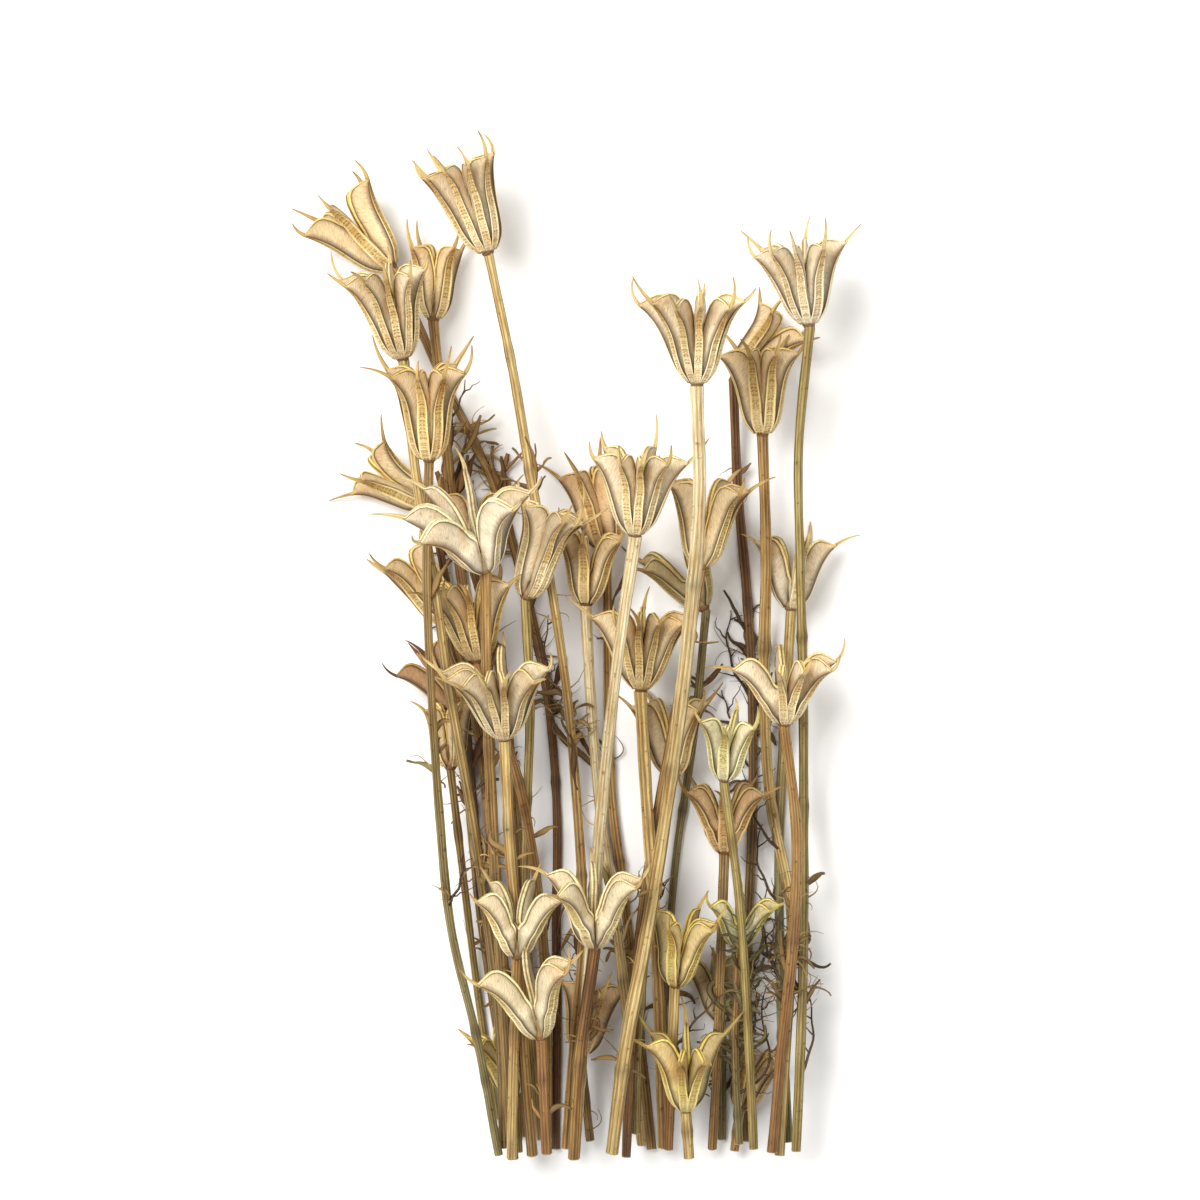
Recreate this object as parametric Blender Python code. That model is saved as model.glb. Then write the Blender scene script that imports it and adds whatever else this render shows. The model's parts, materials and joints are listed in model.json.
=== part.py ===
# Bunch of dried nigella pods, laid down flat.
# Millimetres are used while the plants are laid out, and metres in the meshes.
# +Y is the direction of the seed heads, -Y the cut ends, +Z is up, off the table.

import math
import random

import bmesh
import bpy
import numpy as np

NAME = "bunch_of_dried_nigella_pods"
METRES_PER_MM = 0.001

# Scale of the places read off the picture of the bunch
PICTURE_PX_PER_MM = 4.0
PICTURE_MIDDLE_PX = (582.0, 635.0)
EYE_MM = (4.5, 8.75, 1400.0)

# Driving sizes, mm
SEAT_GAP = 0.3
CELL = 0.3
NECK_DROP = 1.3
BEAK_SHARE = 0.33
STEM_STATION = 28.0
THREAD_GIRTH = 0.9
THREAD_STATION = 7.0
SLOPE_LIMIT = 0.36
BEND_RADIUS = 70.0

# Outline of one follicle: share of its length, then sizes as shares of that length
RING_AT = (0.02, 0.34, 0.72, 0.93, 1.0)
WALL_DEPTH = (0.03, 0.24, 0.285, 0.275, 0.05)
STRIP_HALF = (0.42, 1.35, 1.45, 1.25, 0.5)
SUTURE_HALF = (0.34, 0.42, 0.5, 0.5, 0.4)
BEAK_HALF = (0.4, 0.31)
SUTURE_NEAREST = 1.15
CORE_SIDES = 5
ROOT_ANGLE = 76
ROOT_PULL = 0.26
CLOSE_TURN = 42.0

CREAM = (0.68, 0.51, 0.27)
PALE = (0.74, 0.6, 0.38)
STRAW = (0.58, 0.38, 0.15)
TAN = (0.42, 0.25, 0.1)
BROWN = (0.22, 0.11, 0.045)
YELLOW = (0.6, 0.43, 0.13)
MOSS = (0.28, 0.23, 0.095)
OLIVE = (0.25, 0.2, 0.07)


class Head:
    """One seed head: where its stem joins it, which way it points and how it opens.

    Pods are the turns of its follicles round it, degrees from the top to the right,
    or the number of them where they are spread evenly.
    """

    def __init__(self, number, base, lean, pitch, size, pods, flare, curl, height, roll, tint):
        self.number = number
        self.base_px = base
        self.lean = lean
        self.pitch = pitch
        self.length = size * 0.245
        self.pods = pods
        self.flare = flare
        self.curl = curl
        self.height = height
        self.roll = roll
        self.tint = tint


class Stem:
    """One stem: the way from its cut end to its head, in picture points, and its girth."""

    def __init__(self, number, girth, tint, alone, way):
        self.number = number
        self.girth = girth
        self.tint = tint
        self.alone = alone
        self.way = way


HEADS = [
    Head(1, (483, 254), -17, 4, 98, (-78, -46, -16, 14, 48, 115, -140), 25, 8, 24, 0, CREAM),
    Head(2, (390, 266), -42, 0, 92, 5, 30, 10, 12, 0, STRAW),
    Head(3, (397, 355), -11, 4, 98, (-80, -50, -20, 8, 36, 66, 180), 30, 10, 33, 0, CREAM),
    Head(4, (433, 316), 3, 0, 76, 4, 24, 8, 14, 20, STRAW),
    Head(5, (425, 462), -1, 4, 96, (-62, -20, 20, 62, 125, -125), 26, 18, 36, 0, STRAW),
    Head(6, (425, 502), -58, 0, 76, 4, 30, 16, 12, 12, STRAW),
    Head(8, (484, 568), -12, 26, 98, (-70, 50, 84, -112, -150, 168), 42, 20, 44, 0, PALE),
    Head(9, (466, 566), -2, 0, 78, 4, 24, 8, 14, 14, TAN),
    Head(10, (531, 595), 16, 2, 94, (-62, 14, 38, 64, 130, -130), 23, 18, 27, 0, CREAM),
    Head(11, (454, 612), -33, 0, 84, 4, 25, 12, 13, -18, STRAW),
    Head(12, (482, 655), -8, 0, 88, (-76, -50, -26, -2, 58, 140, -140), 35, 14, 28, 0, YELLOW),
    Head(13, (500, 737), -5, 4, 92, (-82, -58, -32, -8, 16, 46, 78, 180), 38, 14, 36, 0, CREAM),
    Head(14, (454, 700), -38, 0, 74, 4, 26, 10, 12, 10, BROWN),
    Head(15, (450, 757), -4, 2, 66, 4, 26, 10, 20, 40, STRAW),
    Head(16, (582, 598), 3, 2, 76, (-60, -4, 58, 130, -130), 31, 12, 14, 0, STRAW),
    Head(17, (606, 548), -12, 0, 86, 4, 22, 12, 13, 10, TAN),
    Head(18, (631, 537), 2, 2, 90, (-76, -32, 0, 32, 68, 150, -140), 32, 12, 38, 0, CREAM),
    Head(19, (702, 565), 5, 2, 90, (-64, 44, 76, 150, -130), 29, 14, 25, 0, STRAW),
    Head(20, (703, 606), -30, 0, 80, 4, 36, 8, 11, 0, MOSS),
    Head(21, (645, 688), 1, 0, 88, (-78, -32, -6, 22, 52, 84, 180), 37, 12, 22, 0, STRAW),
    Head(22, (700, 384), 0, 2, 94, (-84, -54, -16, 10, 42, 78, 180), 35, 16, 44, 0, PALE),
    Head(23, (805, 322), -7, 4, 88, (-80, -50, -18, 22, 70, 160, -130), 33, 8, 30, 0, CREAM),
    Head(24, (738, 374), 42, 0, 78, 4, 28, 14, 13, 0, TAN),
    Head(26, (767, 436), -2, 0, 88, (-74, -12, 30, 76, 150, -130), 26, 16, 22, 0, STRAW),
    Head(27, (792, 607), 4, 2, 76, (-66, -20, 70, 150, -140), 35, 12, 14, 0, CREAM),
    Head(28, (790, 723), 1, 6, 80, (-80, -18, 14, 50, 84, 180), 41, 20, 34, 0, PALE),
    Head(29, (673, 775), -2, 0, 82, (-58, 52, 140, -140), 33, 10, 16, 0, STRAW),
    Head(30, (728, 780), 6, 2, 68, (-58, -4, 56, 180), 31, 12, 26, 0, PALE),
    Head(31, (720, 850), 0, 0, 74, (-66, -2, 64, 140, -140), 35, 14, 12, 0, TAN),
    Head(32, (590, 938), 0, 4, 84, (-54, 56, 84, 175, -120), 36, 14, 26, 0, PALE),
    Head(33, (517, 953), 1, 4, 76, (-74, 70, 150, -150), 34, 14, 24, 0, PALE),
    Head(34, (537, 1030), -13, 4, 86, (-72, 60, 88, 180), 33, 18, 22, 0, PALE),
    Head(35, (514, 1092), -22, 0, 72, 4, 24, 10, 10, 0, YELLOW),
    Head(36, (582, 1052), 10, 0, 76, 4, 26, 12, 11, 0, TAN),
    Head(37, (680, 980), 8, 4, 78, (-34, 46, 76, 150, -120), 26, 12, 24, 0, YELLOW),
    Head(38, (732, 948), 2, 4, 60, (-56, 50, 84, 180), 40, 14, 28, 0, YELLOW),
    Head(39, (722, 1020), -6, 0, 66, 4, 28, 8, 12, 0, MOSS),
    Head(40, (686, 1108), 1, 6, 84, (-70, -28, 38, 72, 170, -130), 32, 14, 22, 0, YELLOW),
    Head(41, (742, 1108), 18, 0, 66, 4, 28, 14, 11, 0, TAN),
]

# Extra flare of single follicles, degrees: number of the head and turn of the follicle
SPLAY = {(28, -80): 6, (8, 50): -14, (8, 84): -6}

STEMS = [
    Stem(1, 2.3, STRAW, True, [
        (566, 1146), (577, 1000), (583, 930), (579, 850), (574, 750),
        (559, 640), (548, 565), (527, 455), (509, 350)]),
    Stem(2, 2.2, STRAW, False, [
        (556, 1150), (557, 1000), (556, 900), (556, 780), (546, 690),
        (530, 610), (512, 545), (488, 472), (455, 405), (418, 325)]),
    Stem(3, 2.4, STRAW, True, [
        (505, 1142), (500, 1010), (490, 940), (481, 860), (470, 800),
        (456, 720), (444, 640), (432, 560), (414, 460), (404, 400)]),
    Stem(4, 2.6, TAN, False, [
        (522, 1138), (505, 980), (492, 860), (487, 800), (480, 730),
        (472, 660), (462, 590), (452, 510), (443, 420)]),
    Stem(5, 2.1, TAN, True, [
        (500, 1148), (478, 1030), (460, 965), (448, 905), (442, 840),
        (437, 760), (431, 660), (428, 560)]),
    Stem(6, 2.0, TAN, False, [
        (512, 1120), (492, 1000), (478, 900), (468, 800), (458, 700),
        (450, 610), (440, 545)]),
    Stem(8, 2.7, STRAW, True, [
        (514, 1152), (501, 950), (494, 860), (490, 760), (487, 680), (486, 630)]),
    Stem(9, 2.1, TAN, False, [
        (534, 1100), (524, 950), (519, 850), (510, 750), (497, 660), (478, 610)]),
    Stem(10, 2.2, STRAW, True, [
        (541, 1140), (526, 930), (525, 860), (528, 780), (530, 700), (528, 645)]),
    Stem(11, 2.1, TAN, False, [
        (520, 1090), (503, 960), (490, 850), (478, 740), (466, 660)]),
    Stem(12, 2.4, TAN, True, [
        (548, 1138), (545, 960), (533, 860), (520, 790), (502, 720)]),
    Stem(13, 2.9, STRAW, True, [
        (533, 1150), (522, 1010), (518, 920), (510, 840), (506, 785)]),
    Stem(14, 2.0, BROWN, False, [
        (508, 1100), (490, 960), (480, 870), (470, 780)]),
    Stem(15, 1.9, STRAW, False, [
        (496, 1120), (478, 1000), (466, 900), (457, 830)]),
    Stem(16, 2.6, TAN, True, [
        (642, 1144), (624, 980), (610, 880), (600, 810), (592, 720), (585, 650)]),
    Stem(17, 2.3, BROWN, False, [
        (652, 1150), (632, 960), (619, 860), (611, 790), (608, 700), (610, 610)]),
    Stem(18, 2.9, PALE, True, [
        (575, 1140), (586, 1000), (594, 900), (599, 840), (606, 760),
        (616, 670), (628, 590)]),
    Stem(19, 2.3, TAN, True, [
        (626, 1152), (634, 980), (645, 890), (655, 830), (665, 760),
        (680, 690), (695, 620)]),
    Stem(20, 2.0, MOSS, False, [
        (672, 1110), (668, 980), (674, 880), (685, 800), (698, 710), (708, 650)]),
    Stem(21, 3.0, TAN, True, [
        (664, 1146), (657, 960), (650, 860), (646, 780), (645, 735)]),
    Stem(22, 3.3, PALE, True, [
        (612, 1142), (628, 1020), (642, 950), (655, 890), (669, 790),
        (681, 700), (692, 590), (699, 480)]),
    Stem(23, 2.3, OLIVE, True, [
        (794, 1146), (800, 1000), (803, 900), (804, 760), (803, 680),
        (801, 600), (798, 500), (801, 400)]),
    Stem(24, 2.3, BROWN, False, [
        (747, 1142), (748, 960), (750, 880), (754, 780), (752, 680),
        (748, 600), (740, 500), (729, 430)]),
    Stem(26, 2.7, STRAW, True, [
        (778, 1150), (786, 1000), (791, 910), (782, 850), (770, 790),
        (765, 700), (766, 600), (767, 510)]),
    Stem(27, 2.5, TAN, False, [
        (786, 1138), (779, 980), (780, 880), (781, 800), (785, 730), (790, 665)]),
    Stem(28, 2.6, STRAW, True, [
        (770, 1146), (783, 1010), (790, 950), (797, 900), (795, 800)]),
    Stem(29, 2.3, TAN, False, [
        (636, 1130), (640, 1000), (651, 900), (667, 830)]),
    Stem(30, 2.2, STRAW, True, [
        (752, 1144), (744, 980), (738, 900), (731, 845)]),
    Stem(31, 2.3, STRAW, True, [
        (712, 1148), (719, 980), (720, 905)]),
    Stem(32, 2.9, STRAW, True, [
        (574, 1150), (577, 1080), (586, 1000)]),
    Stem(33, 2.4, PALE, True, [
        (513, 1150), (514, 1080), (516, 1010)]),
    Stem(34, 2.4, TAN, True, [
        (548, 1142), (544, 1085)]),
    Stem(35, 2.2, BROWN, False, [
        (519, 1150)]),
    Stem(36, 2.2, BROWN, False, [
        (590, 1140), (583, 1100)]),
    Stem(37, 2.4, STRAW, True, [
        (668, 1146), (673, 1070), (676, 1030)]),
    Stem(38, 2.1, MOSS, False, [
        (738, 1140), (734, 1010)]),
    Stem(39, 2.1, MOSS, False, [
        (722, 1140), (723, 1080)]),
    Stem(40, 2.4, STRAW, False, [
        (688, 1152)]),
    Stem(41, 2.2, TAN, False, [
        (734, 1150)]),
]

# Thread-like dead leaves: number of the stem they grow from, then their way in picture points
THREADS = [
    (37, [(676, 1052), (694, 1024), (714, 1002), (733, 988)]),
    (38, [(737, 1060), (752, 1030), (757, 1000), (749, 972)]),
    (38, [(738, 1095), (760, 1082), (770, 1050), (762, 1020), (768, 990)]),
    (39, [(722, 1095), (733, 1075), (742, 1050), (741, 1025)]),
    (27, [(780, 980), (768, 950), (762, 915), (768, 885)]),
    (27, [(780, 905), (764, 880), (757, 850), (763, 825)]),
    (24, [(750, 700), (735, 672), (727, 640), (731, 610)]),
    (24, [(751, 740), (733, 722), (722, 690)]),
    (26, [(778, 850), (759, 826), (751, 795), (757, 770)]),
    (28, [(787, 990), (772, 965), (773, 930), (781, 905)]),
    (1, [(562, 700), (548, 672), (545, 640), (549, 615)]),
    (5, [(447, 905), (461, 880), (463, 855)]),
    (19, [(641, 930), (658, 902), (669, 880)]),
    (4, [(446, 430), (459, 405), (466, 380)]),
    (23, [(802, 1000), (790, 965), (793, 930), (806, 905)]),
    (23, [(797, 1080), (811, 1050), (813, 1015), (806, 985)]),
]

# From the piece that lies on the table to the piece on top
LAYING_ORDER = [
    2, 4, 6, 9, 11, 14, 15, 24, 17, 20, 36, 39, 41, 35, 27, 26, 16, 29, 1, 19,
    10, 12, 21, 31, 38, 3, 5, 8, 13, 18, 23, 28, 30, 37, 33, 32, 34, 40, 22]


def from_picture(point_px, height):
    """The place in mm that shows at a picture point, for something that high off the table."""
    flat_x = (point_px[0] - PICTURE_MIDDLE_PX[0]) / PICTURE_PX_PER_MM
    flat_y = (PICTURE_MIDDLE_PX[1] - point_px[1]) / PICTURE_PX_PER_MM
    nearness = (EYE_MM[2] - height) / EYE_MM[2]
    x = EYE_MM[0] + (flat_x - EYE_MM[0]) * nearness
    y = EYE_MM[1] + (flat_y - EYE_MM[1]) * nearness
    return np.array([x, y])


def head_directions(head, pitch_degrees, roll_degrees):
    """Side, up and axis of a head, as the columns of a matrix."""
    lean = math.radians(head.lean)
    pitch = math.radians(pitch_degrees)
    roll = math.radians(roll_degrees)
    axis = np.array([
        math.sin(lean) * math.cos(pitch), math.cos(lean) * math.cos(pitch), math.sin(pitch)])
    side = np.cross(axis, [0.0, 0.0, 1.0])
    side /= np.linalg.norm(side)
    up = np.cross(side, axis)
    turned_side = side * math.cos(roll) + up * math.sin(roll)
    turned_up = up * math.cos(roll) - side * math.sin(roll)
    return np.stack([turned_side, turned_up, axis], 1)


def follicle_turns(head):
    """Turn of each follicle round its head, degrees from the top to the right."""
    if isinstance(head.pods, tuple):
        return list(head.pods)
    return [90 - 360 * i / head.pods for i in range(head.pods)]


def follicle_shapes(head):
    """How each follicle of a head differs a little from the next."""
    rng = random.Random(1000 + 17 * head.number)
    turns = follicle_turns(head)
    shapes = []
    for i, turn in enumerate(turns):
        others = [abs((turn - other + 180) % 360 - 180) for other in turns[:i] + turns[i + 1:]]
        flare = head.flare + SPLAY.get((head.number, turn), 0)
        shapes.append({
            "turn": math.radians(90 - turn + rng.uniform(-2.5, 2.5)),
            "narrow": min(1.0, max(0.66, min(others) / CLOSE_TURN)),
            "flare": math.radians(flare + rng.uniform(-3, 3)),
            "curl": math.radians(head.curl + rng.uniform(-5, 5)),
            "beak": BEAK_SHARE * rng.uniform(0.55, 1.25),
            "bend": math.radians(rng.uniform(-75, 35)),
            "sway": rng.uniform(-0.25, 0.25),
        })
    return shapes


def back_line(length, shape, share):
    """Outer edge of a follicle in its own plane: out from the axis, and along the axis."""
    share = np.asarray(share, float)[:, None]
    flare = shape["flare"]
    tip_angle = flare + shape["curl"]
    root_angle = math.radians(ROOT_ANGLE)
    root = np.array([1.5, 0.25])
    tip = length * np.array([math.sin(flare), math.cos(flare)])
    near_root = root + ROOT_PULL * length * np.array([math.sin(root_angle), math.cos(root_angle)])
    near_tip = tip - 0.42 * length * np.array([math.sin(tip_angle), math.cos(tip_angle)])
    rest = 1 - share
    return (rest ** 3 * root + 3 * rest ** 2 * share * near_root
            + 3 * rest * share ** 2 * near_tip + share ** 3 * tip)


def follicle_rings(head, shape, beak_halves):
    """Four-cornered sections of a follicle and its beak, in the frame of the head."""
    length = head.length
    out = np.array([math.cos(shape["turn"]), math.sin(shape["turn"]), 0.0])
    across = np.array([-math.sin(shape["turn"]), math.cos(shape["turn"]), 0.0])
    along = np.array([0.0, 0.0, 1.0])
    at = np.array(RING_AT)
    outer = back_line(length, shape, at)
    ahead = back_line(length, shape, at + 0.001) - outer
    ahead /= np.linalg.norm(ahead, axis=1)[:, None]
    inward = np.stack([-ahead[:, 1], ahead[:, 0]], 1)
    depth = length * np.array(WALL_DEPTH)
    inner = outer + inward * depth[:, None]
    inner[:, 0] = np.maximum(inner[:, 0], SUTURE_NEAREST)
    rings = []
    for k in range(len(at)):
        back = out * outer[k, 0] + along * outer[k, 1]
        front = out * inner[k, 0] + along * inner[k, 1]
        strip = STRIP_HALF[k] * shape["narrow"]
        suture = SUTURE_HALF[k] * shape["narrow"]
        rings.append([
            back + across * strip, back - across * strip,
            front - across * suture, front + across * suture])
    angle = math.atan2(ahead[-1, 0], ahead[-1, 1])
    middle = (outer[-1] + inner[-1]) / 2
    step = shape["beak"] * length / len(beak_halves)
    sideways = 0.0
    for j, half in enumerate(beak_halves):
        angle += shape["bend"] / len(beak_halves)
        heading = np.array([math.sin(angle), math.cos(angle)])
        middle = middle + heading * step
        sideways += shape["sway"] * step * (j + 0.5)
        turned = np.array([-heading[1], heading[0]])
        back_2d = middle - turned * half
        front_2d = middle + turned * half
        back = out * back_2d[0] + along * back_2d[1] + across * sideways
        front = out * front_2d[0] + along * front_2d[1] + across * sideways
        rings.append([
            back + across * half, back - across * half,
            front - across * half, front + across * half])
    return np.array(rings)


def head_lofts(head, stem):
    """The core of a head, then its follicles, as lofts in the frame of the head."""
    beak_halves = BEAK_HALF if stem.alone and head.height >= 24 else BEAK_HALF[1:]
    follicles = [follicle_rings(head, s, beak_halves) for s in follicle_shapes(head)]
    return [core_rings(head)] + follicles


def core_rings(head):
    """Sections of the neck and heart that the follicles grow from."""
    length = head.length
    levels = ((-NECK_DROP, 1.6), (0.06 * length, 2.9), (0.42 * length, 1.5))
    rings = []
    for level, radius in levels:
        ring = []
        for i in range(CORE_SIDES):
            angle = 2 * math.pi * (i + 0.5) / CORE_SIDES
            ring.append((radius * math.cos(angle), radius * math.sin(angle), level))
        rings.append(ring)
    return np.array(rings)


def smooth_way(points, spacing):
    """Points at even steps along a soft curve through the given ones."""
    points = np.asarray(points, float)
    padded = np.vstack([2 * points[0] - points[1], points, 2 * points[-1] - points[-2]])
    fine = []
    for i in range(1, len(padded) - 2):
        a, b, c, d = padded[i - 1], padded[i], padded[i + 1], padded[i + 2]
        for s in np.linspace(0, 1, 24, endpoint=False):
            fine.append(0.5 * ((2 * b) + (c - a) * s + (2 * a - 5 * b + 4 * c - d) * s ** 2
                               + (3 * b - a - 3 * c + d) * s ** 3))
    fine.append(points[-1])
    fine = np.array(fine)
    run = np.concatenate([[0], np.cumsum(np.linalg.norm(np.diff(fine, axis=0), axis=1))])
    count = max(2, int(round(run[-1] / spacing)) + 1)
    even = np.linspace(0, run[-1], count)
    return np.stack([np.interp(even, run, fine[:, k]) for k in range(fine.shape[1])], 1)


class Pile:
    """Height of the top of all that has been laid down so far, over a fine square grid."""

    def __init__(self):
        self.corner = np.array([-85.0, -150.0])
        self.shape = (int(170 / CELL), int(300 / CELL))
        self.top = np.zeros(self.shape)
        self.wide = self.top

    def cell(self, points):
        return np.floor((points[:, :2] - self.corner) / CELL).astype(int)

    def widen(self):
        """Spreads the top by one square each way, for a seat beside as well as above."""
        rows = np.maximum(self.top, np.maximum(
            np.roll(self.top, 1, axis=0), np.roll(self.top, -1, axis=0)))
        self.wide = np.maximum(rows, np.maximum(
            np.roll(rows, 1, axis=1), np.roll(rows, -1, axis=1)))

    def lift_for(self, points):
        """How far up these points must go to clear what lies under them."""
        cells = self.cell(points)
        over = self.wide[cells[:, 0], cells[:, 1]]
        return np.max(np.where(over > 0, over + SEAT_GAP, 0.0) - points[:, 2])

    def add(self, points):
        cells = self.cell(points)
        np.maximum.at(self.top, (cells[:, 0], cells[:, 1]), points[:, 2])

    def under(self, centres, reach):
        """Highest top within reach of each centre."""
        steps = int(math.ceil(reach / CELL))
        cells = self.cell(centres)
        highest = np.zeros(len(centres))
        for dx in range(-steps, steps + 1):
            for dy in range(-steps, steps + 1):
                if math.hypot(dx, dy) * CELL <= reach + 0.5 * CELL:
                    highest = np.maximum(highest, self.top[cells[:, 0] + dx, cells[:, 1] + dy])
        return highest


def skin_points(rings, spacing=0.28):
    """Close-set points over the sides of a loft."""
    rings = np.asarray(rings, float)
    found = []
    corners = rings.shape[1]
    for k in range(len(rings) - 1):
        for i in range(corners):
            a, b = rings[k, i], rings[k, (i + 1) % corners]
            c, d = rings[k + 1, i], rings[k + 1, (i + 1) % corners]
            longest = max(np.linalg.norm(c - a), np.linalg.norm(d - b))
            widest = max(np.linalg.norm(b - a), np.linalg.norm(d - c))
            u = np.linspace(0, 1, max(2, int(longest / spacing) + 1))[:, None, None]
            v = np.linspace(0, 1, max(2, int(widest / spacing) + 1))[None, :, None]
            grid = (a * (1 - u) + c * u) * (1 - v) + (b * (1 - u) + d * u) * v
            found.append(grid.reshape(-1, 3))
    return np.vstack(found)


def bent_over(run, need):
    """A rod that bends softly over every needed height and slopes down beyond it."""
    apart = np.abs(run[:, None] - run[None, :])
    bend_run = SLOPE_LIMIT * BEND_RADIUS
    soft = apart ** 2 / (2 * BEND_RADIUS)
    straight = SLOPE_LIMIT * apart - SLOPE_LIMIT * bend_run / 2
    fall = np.where(apart < bend_run, soft, straight)
    return np.max(need[None, :] - fall, axis=1)


def choose_pose(pile, head, stem, rough, free_roll):
    """Pitch, roll and place that let a head lie low while it follows the slope of its stem."""
    spot = from_picture(head.base_px, head.height)
    cut_end = from_picture(stem.way[0], 3.0)
    reach = np.linalg.norm(spot - cut_end)
    step = 360.0 / len(follicle_turns(head))
    rolls = [k * step / 6 for k in range(6)] if free_roll else [-8.0, 0.0, 8.0]
    slide = 2.0 if free_roll else 1.0
    best = None
    for pitch in range(-4, head.pitch + 19, 3):
        for roll in rolls:
            frame = head_directions(head, pitch, head.roll + roll)
            turned = rough @ frame.T
            for dx in (-slide, 0.0, slide):
                for dy in (-slide, 0.0, slide):
                    height = pile.lift_for(turned + np.array([spot[0] + dx, spot[1] + dy, 0.0]))
                    slope = min(18.0, math.degrees(math.atan2(height - 4.0, reach)))
                    misfit = abs(pitch - slope - head.pitch)
                    cost = height + 0.6 * misfit + 0.4 * math.hypot(dx, dy)
                    if best is None or cost < best[0]:
                        best = (cost, pitch, head.roll + roll, spot + np.array([dx, dy]))
    return best[1:]


def lay_plant(pile, head, stem):
    """Lays a stem, its head and its threads. Returns head frame, head base, stem and threads."""
    lofts = head_lofts(head, stem)
    rough = np.vstack([skin_points(r, 0.8) for r in lofts])
    pile.widen()
    pitch, roll, spot = choose_pose(pile, head, stem, rough, not stem.alone)
    frame = head_directions(head, pitch, roll)
    local = np.vstack([skin_points(r) for r in lofts]) @ frame.T
    head_points = local + np.array([spot[0], spot[1], 0.0])
    base_height = pile.lift_for(head_points)
    axis = frame[:, 2]
    joint = np.array([spot[0], spot[1], 0.0]) - axis * (NECK_DROP + SEAT_GAP)
    heights = np.linspace(3.0, head.height, len(stem.way) + 1)[:-1]
    way = [from_picture(p, h) for p, h in zip(stem.way, heights)]
    way.append(joint[:2])
    line = smooth_way(way, STEM_STATION)
    half = stem.girth / 2
    fine = smooth_between(line, 0.6)
    need = pile.under(fine, half / math.cos(math.pi / 6) + SEAT_GAP)
    need = np.where(need > 0, need + half + SEAT_GAP, half)
    run = np.concatenate([[0], np.cumsum(np.linalg.norm(np.diff(fine, axis=0), axis=1))])
    need[-1] = max(need[-1], base_height + joint[2])
    rod = bent_over(run, need)
    line_run = np.concatenate([[0], np.cumsum(np.linalg.norm(np.diff(line, axis=0), axis=1))])
    line_run *= run[-1] / line_run[-1]
    z = np.interp(line_run, run, rod)
    for _ in range(6):
        short = need - np.interp(run, line_run, z)
        for k in range(len(z)):
            near = np.abs(run - line_run[k]) < STEM_STATION
            z[k] += max(0.0, short[near].max()) if near.any() else 0.0
    base = np.array([spot[0], spot[1], z[-1] - joint[2]])
    centre = np.column_stack([line, z])
    pile.add(local + base)
    pile.widen()
    threads = [thread_rings(t) for t in lay_threads(pile, stem, centre)]
    pile.add(skin_points(stem_rings(centre, half, axis)))
    for rings in threads:
        pile.add(skin_points(rings))
    return frame, base, centre, threads


def lay_threads(pile, stem, centre):
    """Centre lines of the thread leaves of one stem, laid over what lies under them."""
    laid = []
    half = THREAD_GIRTH / 2
    for number, way in THREADS:
        if number != stem.number:
            continue
        nearest = np.argmin(np.abs(centre[:, 1] - from_picture(way[0], centre[0, 2])[1]))
        level = centre[nearest, 2]
        places = [from_picture(p, level) for p in way]
        row = np.clip(places[0][1], centre[0, 1], centre[-1, 1])
        root = np.array([np.interp(row, centre[:, 1], centre[:, k]) for k in range(3)])
        places[0] = root[:2]
        line = smooth_way(places, THREAD_STATION)
        run = np.concatenate([[0], np.cumsum(np.linalg.norm(np.diff(line, axis=0), axis=1))])
        fine_run = np.linspace(0, run[-1], 60)
        fine = np.stack([np.interp(fine_run, run, line[:, k]) for k in range(2)], 1)
        need = pile.under(fine, half + SEAT_GAP) + half + SEAT_GAP
        beside_stem = fine_run < stem.girth
        need[beside_stem] = root[2]
        z = np.zeros(len(line))
        for k in range(len(line)):
            near = np.abs(fine_run - run[k]) <= THREAD_STATION
            z[k] = need[near].max()
        z[0] = root[2]
        laid.append(np.column_stack([line, np.maximum(z, root[2] - 0.3 * run)]))
    return laid


def thread_rings(line):
    """Three-cornered sections along a thread leaf that grows thinner to its tip."""
    rings = []
    last = len(line) - 1
    for k in range(len(line)):
        ahead = line[min(k + 1, last)] - line[max(k - 1, 0)]
        ahead /= np.linalg.norm(ahead)
        side = np.cross(ahead, [0.0, 0.0, 1.0])
        side /= np.linalg.norm(side)
        up = np.cross(side, ahead)
        reach = THREAD_GIRTH * (0.62 - 0.14 * k / last)
        ring = []
        for i in range(3):
            angle = math.radians(90 + 120 * i)
            ring.append(line[k] + reach * (math.cos(angle) * side + math.sin(angle) * up))
        rings.append(ring)
    return np.array(rings)


def smooth_between(line, spacing):
    """Close points along straight spans."""
    found = []
    for a, b in zip(line[:-1], line[1:]):
        steps = max(1, int(np.linalg.norm(b - a) / spacing))
        for s in range(steps):
            found.append(a + (b - a) * s / steps)
    found.append(line[-1])
    return np.array(found)


def stem_rings(centre, half, axis):
    """Six-cornered sections square to the stem, with a flat side down. The last is square to axis."""
    corner_reach = half / math.cos(math.pi / 6)
    rings = []
    last = len(centre) - 1
    for k in range(len(centre)):
        ahead = centre[min(k + 1, last)] - centre[max(k - 1, 0)]
        ahead = ahead / np.linalg.norm(ahead) if k < last else axis
        side = np.cross(ahead, [0.0, 0.0, 1.0])
        side /= np.linalg.norm(side)
        up = np.cross(side, ahead)
        ring = []
        for i in range(6):
            angle = 2 * math.pi * i / 6
            ring.append(centre[k] + corner_reach * (math.cos(angle) * side + math.sin(angle) * up))
        rings.append(ring)
    return np.array(rings)


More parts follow.
